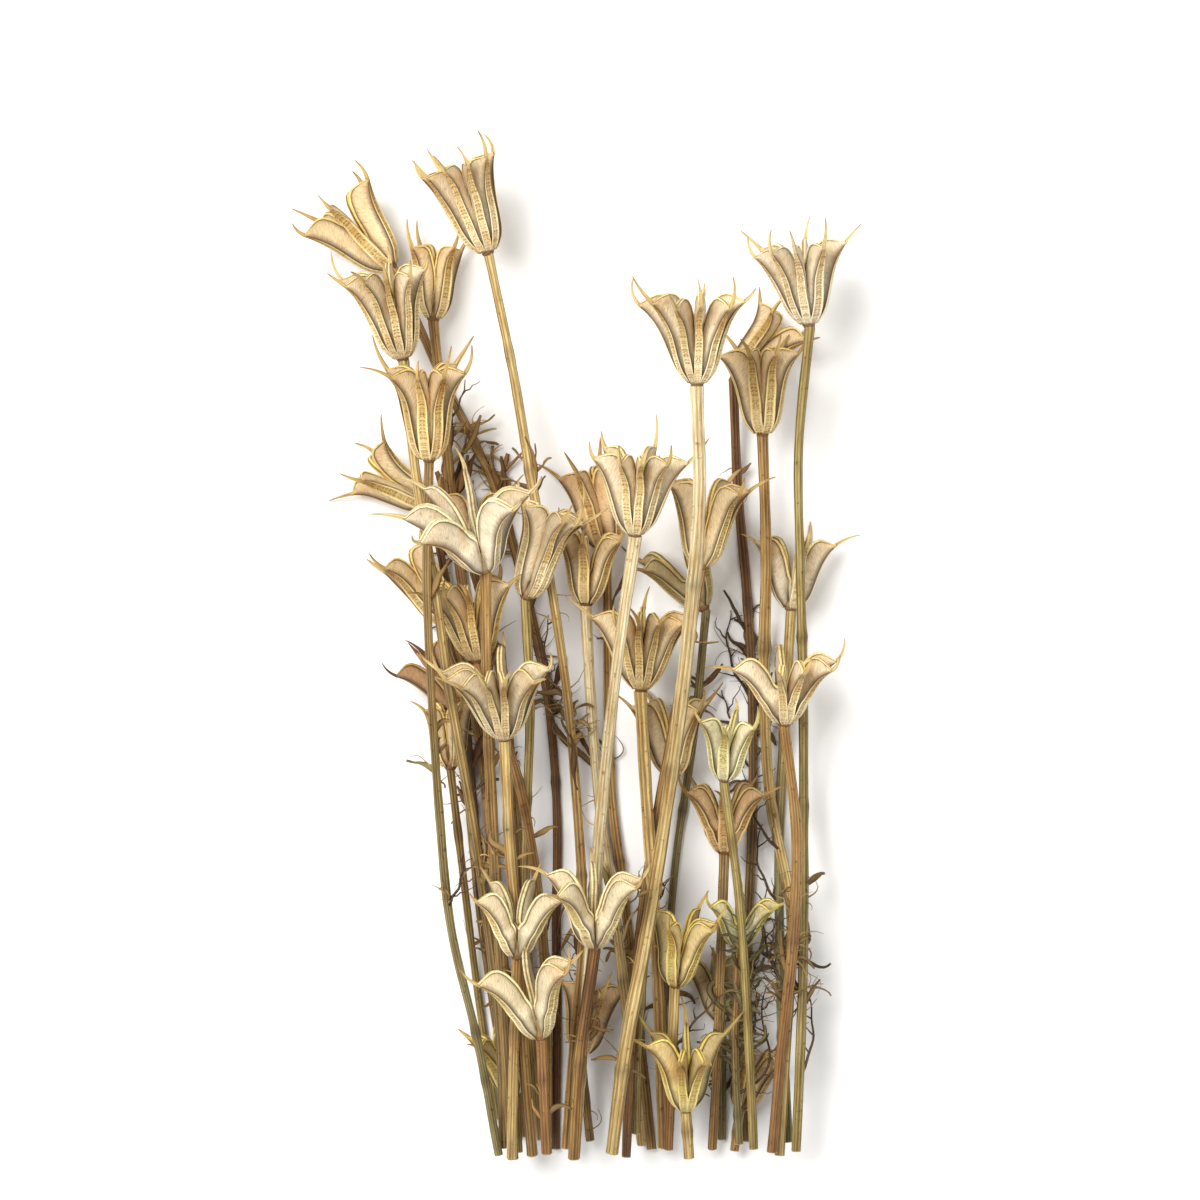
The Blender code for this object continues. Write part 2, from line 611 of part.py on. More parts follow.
def loft(name, rings, home):
    """A closed mesh through sections that have the same number of corners."""
    mesh = bpy.data.meshes.new(name)
    form = bmesh.new()
    made = []
    for ring in rings:
        made.append([form.verts.new(tuple(float(c) * METRES_PER_MM for c in p)) for p in ring])
    corners = len(made[0])
    for lower, upper in zip(made[:-1], made[1:]):
        for i in range(corners):
            j = (i + 1) % corners
            form.faces.new((lower[i], lower[j], upper[j], upper[i]))
    form.faces.new(list(reversed(made[0])))
    form.faces.new(made[-1])
    bmesh.ops.triangulate(form, faces=form.faces[:])
    bmesh.ops.recalc_face_normals(form, faces=form.faces[:])
    form.to_mesh(mesh)
    form.free()
    piece = bpy.data.objects.new(name, mesh)
    home.objects.link(piece)
    return piece


def dry_material(name, colour, roughness):
    material = bpy.data.materials.new(name)
    material.use_nodes = True
    surface = material.node_tree.nodes["Principled BSDF"]
    surface.inputs["Base Color"].default_value = (colour[0], colour[1], colour[2], 1.0)
    surface.inputs["Roughness"].default_value = roughness
    surface.inputs["Metallic"].default_value = 0.0
    return material


def join(base, others_rings, home):
    """Unites the base with other lofts in one step, and keeps one closed mesh."""
    group = bpy.data.collections.new(base.name + "_growths")
    bpy.context.scene.collection.children.link(group)
    for i, rings in enumerate(others_rings):
        loft(f"{base.name}_growth_{i}", rings, group)
    union = base.modifiers.new("union", "BOOLEAN")
    union.operation = "UNION"
    union.operand_type = "COLLECTION"
    union.collection = group
    union.solver = "EXACT"
    bpy.context.view_layer.update()
    seen = base.evaluated_get(bpy.context.evaluated_depsgraph_get())
    united = bpy.data.meshes.new_from_object(seen)
    base.modifiers.clear()
    old = base.data
    base.data = united
    bpy.data.meshes.remove(old)
    for piece in list(group.objects):
        mesh = piece.data
        bpy.data.objects.remove(piece)
        bpy.data.meshes.remove(mesh)
    bpy.data.collections.remove(group)


def build():
    for old in list(bpy.data.objects):
        bpy.data.objects.remove(old)
    home = bpy.data.collections.new(NAME)
    bpy.context.scene.collection.children.link(home)
    heads = {head.number: head for head in HEADS}
    stems = {stem.number: stem for stem in STEMS}
    pile = Pile()
    pieces = []
    for number in LAYING_ORDER:
        head = heads[number]
        stem = stems[number]
        frame, base, centre, threads = lay_plant(pile, head, stem)
        placed = [rings @ frame.T + base for rings in head_lofts(head, stem)]
        tube = stem_rings(centre, stem.girth / 2, frame[:, 2])
        label = f"{number:02d}"
        if stem.alone:
            neck = loft(f"seed_head_{label}", placed[0], home)
            join(neck, placed[1:], home)
            neck.data.materials.clear()
            neck.data.materials.append(dry_material(f"papery_follicles_{label}", head.tint, 0.7))
            stalk = loft(f"stem_{label}", tube, home)
            if threads:
                join(stalk, threads, home)
                stalk.data.materials.clear()
            stalk.data.materials.append(dry_material(f"dry_stem_{label}", stem.tint, 0.6))
            pieces += [neck, stalk]
        else:
            frame_axis = frame[:, 2]
            sunk = tube[-1] + frame_axis * 1.2
            tube = np.concatenate([tube, sunk[None]])
            whole = loft(f"stemmed_head_{label}", tube, home)
            join(whole, placed + threads, home)
            whole.data.materials.clear()
            whole.data.materials.append(dry_material(f"dry_plant_{label}", head.tint, 0.7))
            pieces.append(whole)
    centre_on_table(pieces)
    return pieces


def centre_on_table(pieces):
    """Moves all to have the middle of the outer box over the origin and the lowest point at 0."""
    corners = [v.co for piece in pieces for v in piece.data.vertices]
    low = [min(c[k] for c in corners) for k in range(3)]
    high = [max(c[k] for c in corners) for k in range(3)]
    shift = (-(low[0] + high[0]) / 2, -(low[1] + high[1]) / 2, -low[2])
    for piece in pieces:
        for vertex in piece.data.vertices:
            vertex.co.x += shift[0]
            vertex.co.y += shift[1]
            vertex.co.z += shift[2]
        piece.data.update()


build()
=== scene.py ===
# Looks of the bunch of dried nigella pods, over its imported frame.
# The plants are laid out by the same rules and numbers as the solids, in millimetres.

import json
import math
import random

import bmesh
import bpy
import numpy as np
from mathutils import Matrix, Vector

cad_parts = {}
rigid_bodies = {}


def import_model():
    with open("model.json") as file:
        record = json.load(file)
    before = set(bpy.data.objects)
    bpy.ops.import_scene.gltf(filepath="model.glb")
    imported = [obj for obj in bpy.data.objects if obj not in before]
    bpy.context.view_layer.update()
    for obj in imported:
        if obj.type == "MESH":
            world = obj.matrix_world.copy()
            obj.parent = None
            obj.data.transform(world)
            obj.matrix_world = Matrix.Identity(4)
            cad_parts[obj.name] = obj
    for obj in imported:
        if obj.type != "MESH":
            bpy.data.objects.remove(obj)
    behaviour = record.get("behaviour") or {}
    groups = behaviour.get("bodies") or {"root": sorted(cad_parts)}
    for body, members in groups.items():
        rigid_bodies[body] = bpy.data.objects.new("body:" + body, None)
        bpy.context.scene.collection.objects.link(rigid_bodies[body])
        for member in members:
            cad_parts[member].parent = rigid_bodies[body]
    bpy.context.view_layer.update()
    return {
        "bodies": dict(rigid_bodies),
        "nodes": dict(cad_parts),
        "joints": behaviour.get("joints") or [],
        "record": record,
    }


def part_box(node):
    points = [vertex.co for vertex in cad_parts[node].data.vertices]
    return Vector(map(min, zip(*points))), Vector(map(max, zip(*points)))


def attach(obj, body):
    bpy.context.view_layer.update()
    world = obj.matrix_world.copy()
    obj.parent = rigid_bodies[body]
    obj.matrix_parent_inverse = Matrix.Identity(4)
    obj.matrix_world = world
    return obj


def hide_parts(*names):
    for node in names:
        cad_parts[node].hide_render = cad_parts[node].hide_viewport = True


METRES_PER_MM = 0.001

# Scale of the places read off the picture of the bunch
PICTURE_PX_PER_MM = 4.0
PICTURE_MIDDLE_PX = (582.0, 635.0)
EYE_MM = (4.5, 8.75, 1400.0)

# Driving sizes, mm
SEAT_GAP = 0.3
CELL = 0.3
NECK_DROP = 1.3
BEAK_SHARE = 0.33
STEM_STATION = 28.0
THREAD_GIRTH = 0.9
THREAD_STATION = 7.0
SLOPE_LIMIT = 0.36
BEND_RADIUS = 70.0

# Outline of one follicle: share of its length, then sizes as shares of that length
RING_AT = (0.02, 0.34, 0.72, 0.93, 1.0)
WALL_DEPTH = (0.03, 0.24, 0.285, 0.275, 0.05)
STRIP_HALF = (0.42, 1.35, 1.45, 1.25, 0.5)
SUTURE_HALF = (0.34, 0.42, 0.5, 0.5, 0.4)
BEAK_HALF = (0.4, 0.31)
SUTURE_NEAREST = 1.15
CORE_SIDES = 5
ROOT_ANGLE = 76
ROOT_PULL = 0.26
CLOSE_TURN = 42.0

CREAM = "CREAM"
PALE = "PALE"
STRAW = "STRAW"
TAN = "TAN"
BROWN = "BROWN"
YELLOW = "YELLOW"
MOSS = "MOSS"
OLIVE = "OLIVE"


class Head:
    """One seed head: where its stem joins it, which way it points and how it opens.

    Pods are the turns of its follicles round it, degrees from the top to the right,
    or the number of them where they are spread evenly.
    """

    def __init__(self, number, base, lean, pitch, size, pods, flare, curl, height, roll, tint):
        self.number = number
        self.base_px = base
        self.lean = lean
        self.pitch = pitch
        self.length = size * 0.245
        self.pods = pods
        self.flare = flare
        self.curl = curl
        self.height = height
        self.roll = roll
        self.tint = tint


class Stem:
    """One stem: the way from its cut end to its head, in picture points, and its girth."""

    def __init__(self, number, girth, tint, alone, way):
        self.number = number
        self.girth = girth
        self.tint = tint
        self.alone = alone
        self.way = way


HEADS = [
    Head(1, (483, 254), -17, 4, 98, (-78, -46, -16, 14, 48, 115, -140), 25, 8, 24, 0, CREAM),
    Head(2, (390, 266), -42, 0, 92, 5, 30, 10, 12, 0, STRAW),
    Head(3, (397, 355), -11, 4, 98, (-80, -50, -20, 8, 36, 66, 180), 30, 10, 33, 0, CREAM),
    Head(4, (433, 316), 3, 0, 76, 4, 24, 8, 14, 20, STRAW),
    Head(5, (425, 462), -1, 4, 96, (-62, -20, 20, 62, 125, -125), 26, 18, 36, 0, STRAW),
    Head(6, (425, 502), -58, 0, 76, 4, 30, 16, 12, 12, STRAW),
    Head(8, (484, 568), -12, 26, 98, (-70, 50, 84, -112, -150, 168), 42, 20, 44, 0, PALE),
    Head(9, (466, 566), -2, 0, 78, 4, 24, 8, 14, 14, TAN),
    Head(10, (531, 595), 16, 2, 94, (-62, 14, 38, 64, 130, -130), 23, 18, 27, 0, CREAM),
    Head(11, (454, 612), -33, 0, 84, 4, 25, 12, 13, -18, STRAW),
    Head(12, (482, 655), -8, 0, 88, (-76, -50, -26, -2, 58, 140, -140), 35, 14, 28, 0, YELLOW),
    Head(13, (500, 737), -5, 4, 92, (-82, -58, -32, -8, 16, 46, 78, 180), 38, 14, 36, 0, CREAM),
    Head(14, (454, 700), -38, 0, 74, 4, 26, 10, 12, 10, BROWN),
    Head(15, (450, 757), -4, 2, 66, 4, 26, 10, 20, 40, STRAW),
    Head(16, (582, 598), 3, 2, 76, (-60, -4, 58, 130, -130), 31, 12, 14, 0, STRAW),
    Head(17, (606, 548), -12, 0, 86, 4, 22, 12, 13, 10, TAN),
    Head(18, (631, 537), 2, 2, 90, (-76, -32, 0, 32, 68, 150, -140), 32, 12, 38, 0, CREAM),
    Head(19, (702, 565), 5, 2, 90, (-64, 44, 76, 150, -130), 29, 14, 25, 0, STRAW),
    Head(20, (703, 606), -30, 0, 80, 4, 36, 8, 11, 0, MOSS),
    Head(21, (645, 688), 1, 0, 88, (-78, -32, -6, 22, 52, 84, 180), 37, 12, 22, 0, STRAW),
    Head(22, (700, 384), 0, 2, 94, (-84, -54, -16, 10, 42, 78, 180), 35, 16, 44, 0, PALE),
    Head(23, (805, 322), -7, 4, 88, (-80, -50, -18, 22, 70, 160, -130), 33, 8, 30, 0, CREAM),
    Head(24, (738, 374), 42, 0, 78, 4, 28, 14, 13, 0, TAN),
    Head(26, (767, 436), -2, 0, 88, (-74, -12, 30, 76, 150, -130), 26, 16, 22, 0, STRAW),
    Head(27, (792, 607), 4, 2, 76, (-66, -20, 70, 150, -140), 35, 12, 14, 0, CREAM),
    Head(28, (790, 723), 1, 6, 80, (-80, -18, 14, 50, 84, 180), 41, 20, 34, 0, PALE),
    Head(29, (673, 775), -2, 0, 82, (-58, 52, 140, -140), 33, 10, 16, 0, STRAW),
    Head(30, (728, 780), 6, 2, 68, (-58, -4, 56, 180), 31, 12, 26, 0, PALE),
    Head(31, (720, 850), 0, 0, 74, (-66, -2, 64, 140, -140), 35, 14, 12, 0, TAN),
    Head(32, (590, 938), 0, 4, 84, (-54, 56, 84, 175, -120), 36, 14, 26, 0, PALE),
    Head(33, (517, 953), 1, 4, 76, (-74, 70, 150, -150), 34, 14, 24, 0, PALE),
    Head(34, (537, 1030), -13, 4, 86, (-72, 60, 88, 180), 33, 18, 22, 0, PALE),
    Head(35, (514, 1092), -22, 0, 72, 4, 24, 10, 10, 0, YELLOW),
    Head(36, (582, 1052), 10, 0, 76, 4, 26, 12, 11, 0, TAN),
    Head(37, (680, 980), 8, 4, 78, (-34, 46, 76, 150, -120), 26, 12, 24, 0, YELLOW),
    Head(38, (732, 948), 2, 4, 60, (-56, 50, 84, 180), 40, 14, 28, 0, YELLOW),
    Head(39, (722, 1020), -6, 0, 66, 4, 28, 8, 12, 0, MOSS),
    Head(40, (686, 1108), 1, 6, 84, (-70, -28, 38, 72, 170, -130), 32, 14, 22, 0, YELLOW),
    Head(41, (742, 1108), 18, 0, 66, 4, 28, 14, 11, 0, TAN),
]

# Extra flare of single follicles, degrees: number of the head and turn of the follicle
SPLAY = {(28, -80): 6, (8, 50): -14, (8, 84): -6}

STEMS = [
    Stem(1, 2.3, STRAW, True, [
        (566, 1146), (577, 1000), (583, 930), (579, 850), (574, 750),
        (559, 640), (548, 565), (527, 455), (509, 350)]),
    Stem(2, 2.2, STRAW, False, [
        (556, 1150), (557, 1000), (556, 900), (556, 780), (546, 690),
        (530, 610), (512, 545), (488, 472), (455, 405), (418, 325)]),
    Stem(3, 2.4, STRAW, True, [
        (505, 1142), (500, 1010), (490, 940), (481, 860), (470, 800),
        (456, 720), (444, 640), (432, 560), (414, 460), (404, 400)]),
    Stem(4, 2.6, TAN, False, [
        (522, 1138), (505, 980), (492, 860), (487, 800), (480, 730),
        (472, 660), (462, 590), (452, 510), (443, 420)]),
    Stem(5, 2.1, TAN, True, [
        (500, 1148), (478, 1030), (460, 965), (448, 905), (442, 840),
        (437, 760), (431, 660), (428, 560)]),
    Stem(6, 2.0, TAN, False, [
        (512, 1120), (492, 1000), (478, 900), (468, 800), (458, 700),
        (450, 610), (440, 545)]),
    Stem(8, 2.7, STRAW, True, [
        (514, 1152), (501, 950), (494, 860), (490, 760), (487, 680), (486, 630)]),
    Stem(9, 2.1, TAN, False, [
        (534, 1100), (524, 950), (519, 850), (510, 750), (497, 660), (478, 610)]),
    Stem(10, 2.2, STRAW, True, [
        (541, 1140), (526, 930), (525, 860), (528, 780), (530, 700), (528, 645)]),
    Stem(11, 2.1, TAN, False, [
        (520, 1090), (503, 960), (490, 850), (478, 740), (466, 660)]),
    Stem(12, 2.4, TAN, True, [
        (548, 1138), (545, 960), (533, 860), (520, 790), (502, 720)]),
    Stem(13, 2.9, STRAW, True, [
        (533, 1150), (522, 1010), (518, 920), (510, 840), (506, 785)]),
    Stem(14, 2.0, BROWN, False, [
        (508, 1100), (490, 960), (480, 870), (470, 780)]),
    Stem(15, 1.9, STRAW, False, [
        (496, 1120), (478, 1000), (466, 900), (457, 830)]),
    Stem(16, 2.6, TAN, True, [
        (642, 1144), (624, 980), (610, 880), (600, 810), (592, 720), (585, 650)]),
    Stem(17, 2.3, BROWN, False, [
        (652, 1150), (632, 960), (619, 860), (611, 790), (608, 700), (610, 610)]),
    Stem(18, 2.9, PALE, True, [
        (575, 1140), (586, 1000), (594, 900), (599, 840), (606, 760),
        (616, 670), (628, 590)]),
    Stem(19, 2.3, TAN, True, [
        (626, 1152), (634, 980), (645, 890), (655, 830), (665, 760),
        (680, 690), (695, 620)]),
    Stem(20, 2.0, MOSS, False, [
        (672, 1110), (668, 980), (674, 880), (685, 800), (698, 710), (708, 650)]),
    Stem(21, 3.0, TAN, True, [
        (664, 1146), (657, 960), (650, 860), (646, 780), (645, 735)]),
    Stem(22, 3.3, PALE, True, [
        (612, 1142), (628, 1020), (642, 950), (655, 890), (669, 790),
        (681, 700), (692, 590), (699, 480)]),
    Stem(23, 2.3, OLIVE, True, [
        (794, 1146), (800, 1000), (803, 900), (804, 760), (803, 680),
        (801, 600), (798, 500), (801, 400)]),
    Stem(24, 2.3, BROWN, False, [
        (747, 1142), (748, 960), (750, 880), (754, 780), (752, 680),
        (748, 600), (740, 500), (729, 430)]),
    Stem(26, 2.7, STRAW, True, [
        (778, 1150), (786, 1000), (791, 910), (782, 850), (770, 790),
        (765, 700), (766, 600), (767, 510)]),
    Stem(27, 2.5, TAN, False, [
        (786, 1138), (779, 980), (780, 880), (781, 800), (785, 730), (790, 665)]),
    Stem(28, 2.6, STRAW, True, [
        (770, 1146), (783, 1010), (790, 950), (797, 900), (795, 800)]),
    Stem(29, 2.3, TAN, False, [
        (636, 1130), (640, 1000), (651, 900), (667, 830)]),
    Stem(30, 2.2, STRAW, True, [
        (752, 1144), (744, 980), (738, 900), (731, 845)]),
    Stem(31, 2.3, STRAW, True, [
        (712, 1148), (719, 980), (720, 905)]),
    Stem(32, 2.9, STRAW, True, [
        (574, 1150), (577, 1080), (586, 1000)]),
    Stem(33, 2.4, PALE, True, [
        (513, 1150), (514, 1080), (516, 1010)]),
    Stem(34, 2.4, TAN, True, [
        (548, 1142), (544, 1085)]),
    Stem(35, 2.2, BROWN, False, [
        (519, 1150)]),
    Stem(36, 2.2, BROWN, False, [
        (590, 1140), (583, 1100)]),
    Stem(37, 2.4, STRAW, True, [
        (668, 1146), (673, 1070), (676, 1030)]),
    Stem(38, 2.1, MOSS, False, [
        (738, 1140), (734, 1010)]),
    Stem(39, 2.1, MOSS, False, [
        (722, 1140), (723, 1080)]),
    Stem(40, 2.4, STRAW, False, [
        (688, 1152)]),
    Stem(41, 2.2, TAN, False, [
        (734, 1150)]),
]

# Thread-like dead leaves: number of the stem they grow from, then their way in picture points
THREADS = [
    (37, [(676, 1052), (694, 1024), (714, 1002), (733, 988)]),
    (38, [(737, 1060), (752, 1030), (757, 1000), (749, 972)]),
    (38, [(738, 1095), (760, 1082), (770, 1050), (762, 1020), (768, 990)]),
    (39, [(722, 1095), (733, 1075), (742, 1050), (741, 1025)]),
    (27, [(780, 980), (768, 950), (762, 915), (768, 885)]),
    (27, [(780, 905), (764, 880), (757, 850), (763, 825)]),
    (24, [(750, 700), (735, 672), (727, 640), (731, 610)]),
    (24, [(751, 740), (733, 722), (722, 690)]),
    (26, [(778, 850), (759, 826), (751, 795), (757, 770)]),
    (28, [(787, 990), (772, 965), (773, 930), (781, 905)]),
    (1, [(562, 700), (548, 672), (545, 640), (549, 615)]),
    (5, [(447, 905), (461, 880), (463, 855)]),
    (19, [(641, 930), (658, 902), (669, 880)]),
    (4, [(446, 430), (459, 405), (466, 380)]),
    (23, [(802, 1000), (790, 965), (793, 930), (806, 905)]),
    (23, [(797, 1080), (811, 1050), (813, 1015), (806, 985)]),
]

# From the piece that lies on the table to the piece on top
LAYING_ORDER = [
    2, 4, 6, 9, 11, 14, 15, 24, 17, 20, 36, 39, 41, 35, 27, 26, 16, 29, 1, 19,
    10, 12, 21, 31, 38, 3, 5, 8, 13, 18, 23, 28, 30, 37, 33, 32, 34, 40, 22]


def from_picture(point_px, height):
    """The place in mm that shows at a picture point, for something that high off the table."""
    flat_x = (point_px[0] - PICTURE_MIDDLE_PX[0]) / PICTURE_PX_PER_MM
    flat_y = (PICTURE_MIDDLE_PX[1] - point_px[1]) / PICTURE_PX_PER_MM
    nearness = (EYE_MM[2] - height) / EYE_MM[2]
    x = EYE_MM[0] + (flat_x - EYE_MM[0]) * nearness
    y = EYE_MM[1] + (flat_y - EYE_MM[1]) * nearness
    return np.array([x, y])


def head_directions(head, pitch_degrees, roll_degrees):
    """Side, up and axis of a head, as the columns of a matrix."""
    lean = math.radians(head.lean)
    pitch = math.radians(pitch_degrees)
    roll = math.radians(roll_degrees)
    axis = np.array([
        math.sin(lean) * math.cos(pitch), math.cos(lean) * math.cos(pitch), math.sin(pitch)])
    side = np.cross(axis, [0.0, 0.0, 1.0])
    side /= np.linalg.norm(side)
    up = np.cross(side, axis)
    turned_side = side * math.cos(roll) + up * math.sin(roll)
    turned_up = up * math.cos(roll) - side * math.sin(roll)
    return np.stack([turned_side, turned_up, axis], 1)


def follicle_turns(head):
    """Turn of each follicle round its head, degrees from the top to the right."""
    if isinstance(head.pods, tuple):
        return list(head.pods)
    return [90 - 360 * i / head.pods for i in range(head.pods)]


def follicle_shapes(head):
    """How each follicle of a head differs a little from the next."""
    rng = random.Random(1000 + 17 * head.number)
    turns = follicle_turns(head)
    shapes = []
    for i, turn in enumerate(turns):
        others = [abs((turn - other + 180) % 360 - 180) for other in turns[:i] + turns[i + 1:]]
        flare = head.flare + SPLAY.get((head.number, turn), 0)
        shapes.append({
            "turn": math.radians(90 - turn + rng.uniform(-2.5, 2.5)),
            "narrow": min(1.0, max(0.66, min(others) / CLOSE_TURN)),
            "flare": math.radians(flare + rng.uniform(-3, 3)),
            "curl": math.radians(head.curl + rng.uniform(-5, 5)),
            "beak": BEAK_SHARE * rng.uniform(0.55, 1.25),
            "bend": math.radians(rng.uniform(-75, 35)),
            "sway": rng.uniform(-0.25, 0.25),
        })
    return shapes


def back_line(length, shape, share):
    """Outer edge of a follicle in its own plane: out from the axis, and along the axis."""
    share = np.asarray(share, float)[:, None]
    flare = shape["flare"]
    tip_angle = flare + shape["curl"]
    root_angle = math.radians(ROOT_ANGLE)
    root = np.array([1.5, 0.25])
    tip = length * np.array([math.sin(flare), math.cos(flare)])
    near_root = root + ROOT_PULL * length * np.array([math.sin(root_angle), math.cos(root_angle)])
    near_tip = tip - 0.42 * length * np.array([math.sin(tip_angle), math.cos(tip_angle)])
    rest = 1 - share
    return (rest ** 3 * root + 3 * rest ** 2 * share * near_root
            + 3 * rest * share ** 2 * near_tip + share ** 3 * tip)


def follicle_rings(head, shape, beak_halves):
    """Four-cornered sections of a follicle and its beak, in the frame of the head."""
    length = head.length
    out = np.array([math.cos(shape["turn"]), math.sin(shape["turn"]), 0.0])
    across = np.array([-math.sin(shape["turn"]), math.cos(shape["turn"]), 0.0])
    along = np.array([0.0, 0.0, 1.0])
    at = np.array(RING_AT)
    outer = back_line(length, shape, at)
    ahead = back_line(length, shape, at + 0.001) - outer
    ahead /= np.linalg.norm(ahead, axis=1)[:, None]
    inward = np.stack([-ahead[:, 1], ahead[:, 0]], 1)
    depth = length * np.array(WALL_DEPTH)
    inner = outer + inward * depth[:, None]
    inner[:, 0] = np.maximum(inner[:, 0], SUTURE_NEAREST)
    rings = []
    for k in range(len(at)):
        back = out * outer[k, 0] + along * outer[k, 1]
        front = out * inner[k, 0] + along * inner[k, 1]
        strip = STRIP_HALF[k] * shape["narrow"]
        suture = SUTURE_HALF[k] * shape["narrow"]
        rings.append([
            back + across * strip, back - across * strip,
            front - across * suture, front + across * suture])
    angle = math.atan2(ahead[-1, 0], ahead[-1, 1])
    middle = (outer[-1] + inner[-1]) / 2
    step = shape["beak"] * length / len(beak_halves)
    sideways = 0.0
    for j, half in enumerate(beak_halves):
        angle += shape["bend"] / len(beak_halves)
        heading = np.array([math.sin(angle), math.cos(angle)])
        middle = middle + heading * step
        sideways += shape["sway"] * step * (j + 0.5)
        turned = np.array([-heading[1], heading[0]])
        back_2d = middle - turned * half
        front_2d = middle + turned * half
        back = out * back_2d[0] + along * back_2d[1] + across * sideways
        front = out * front_2d[0] + along * front_2d[1] + across * sideways
        rings.append([
            back + across * half, back - across * half,
            front - across * half, front + across * half])
    return np.array(rings)


def head_lofts(head, stem):
    """The core of a head, then its follicles, as lofts in the frame of the head."""
    beak_halves = BEAK_HALF if stem.alone and head.height >= 24 else BEAK_HALF[1:]
    follicles = [follicle_rings(head, s, beak_halves) for s in follicle_shapes(head)]
    return [core_rings(head)] + follicles


def core_rings(head):
    """Sections of the neck and heart that the follicles grow from."""
    length = head.length
    levels = ((-NECK_DROP, 1.6), (0.06 * length, 2.9), (0.42 * length, 1.5))
    rings = []
    for level, radius in levels:
        ring = []
        for i in range(CORE_SIDES):
            angle = 2 * math.pi * (i + 0.5) / CORE_SIDES
            ring.append((radius * math.cos(angle), radius * math.sin(angle), level))
        rings.append(ring)
    return np.array(rings)


def smooth_way(points, spacing):
    """Points at even steps along a soft curve through the given ones."""
    points = np.asarray(points, float)
    padded = np.vstack([2 * points[0] - points[1], points, 2 * points[-1] - points[-2]])
    fine = []
    for i in range(1, len(padded) - 2):
        a, b, c, d = padded[i - 1], padded[i], padded[i + 1], padded[i + 2]
        for s in np.linspace(0, 1, 24, endpoint=False):
            fine.append(0.5 * ((2 * b) + (c - a) * s + (2 * a - 5 * b + 4 * c - d) * s ** 2
                               + (3 * b - a - 3 * c + d) * s ** 3))
    fine.append(points[-1])
    fine = np.array(fine)
    run = np.concatenate([[0], np.cumsum(np.linalg.norm(np.diff(fine, axis=0), axis=1))])
    count = max(2, int(round(run[-1] / spacing)) + 1)
    even = np.linspace(0, run[-1], count)
    return np.stack([np.interp(even, run, fine[:, k]) for k in range(fine.shape[1])], 1)


class Pile:
    """Height of the top of all that has been laid down so far, over a fine square grid."""

    def __init__(self):
        self.corner = np.array([-85.0, -150.0])
        self.shape = (int(170 / CELL), int(300 / CELL))
        self.top = np.zeros(self.shape)
        self.wide = self.top

    def cell(self, points):
        return np.floor((points[:, :2] - self.corner) / CELL).astype(int)

    def widen(self):
        """Spreads the top by one square each way, for a seat beside as well as above."""
        rows = np.maximum(self.top, np.maximum(
            np.roll(self.top, 1, axis=0), np.roll(self.top, -1, axis=0)))
        self.wide = np.maximum(rows, np.maximum(
            np.roll(rows, 1, axis=1), np.roll(rows, -1, axis=1)))

    def lift_for(self, points):
        """How far up these points must go to clear what lies under them."""
        cells = self.cell(points)
        over = self.wide[cells[:, 0], cells[:, 1]]
        return np.max(np.where(over > 0, over + SEAT_GAP, 0.0) - points[:, 2])

    def add(self, points):
        cells = self.cell(points)
        np.maximum.at(self.top, (cells[:, 0], cells[:, 1]), points[:, 2])

    def under(self, centres, reach):
        """Highest top within reach of each centre."""
        steps = int(math.ceil(reach / CELL))
        cells = self.cell(centres)
        highest = np.zeros(len(centres))
        for dx in range(-steps, steps + 1):
            for dy in range(-steps, steps + 1):
                if math.hypot(dx, dy) * CELL <= reach + 0.5 * CELL:
                    highest = np.maximum(highest, self.top[cells[:, 0] + dx, cells[:, 1] + dy])
        return highest


def skin_points(rings, spacing=0.28):
    """Close-set points over the sides of a loft."""
    rings = np.asarray(rings, float)
    found = []
    corners = rings.shape[1]
    for k in range(len(rings) - 1):
        for i in range(corners):
            a, b = rings[k, i], rings[k, (i + 1) % corners]
            c, d = rings[k + 1, i], rings[k + 1, (i + 1) % corners]
            longest = max(np.linalg.norm(c - a), np.linalg.norm(d - b))
            widest = max(np.linalg.norm(b - a), np.linalg.norm(d - c))
            u = np.linspace(0, 1, max(2, int(longest / spacing) + 1))[:, None, None]
            v = np.linspace(0, 1, max(2, int(widest / spacing) + 1))[None, :, None]
            grid = (a * (1 - u) + c * u) * (1 - v) + (b * (1 - u) + d * u) * v
            found.append(grid.reshape(-1, 3))
    return np.vstack(found)


def bent_over(run, need):
    """A rod that bends softly over every needed height and slopes down beyond it."""
    apart = np.abs(run[:, None] - run[None, :])
    bend_run = SLOPE_LIMIT * BEND_RADIUS
    soft = apart ** 2 / (2 * BEND_RADIUS)
    straight = SLOPE_LIMIT * apart - SLOPE_LIMIT * bend_run / 2
    fall = np.where(apart < bend_run, soft, straight)
    return np.max(need[None, :] - fall, axis=1)


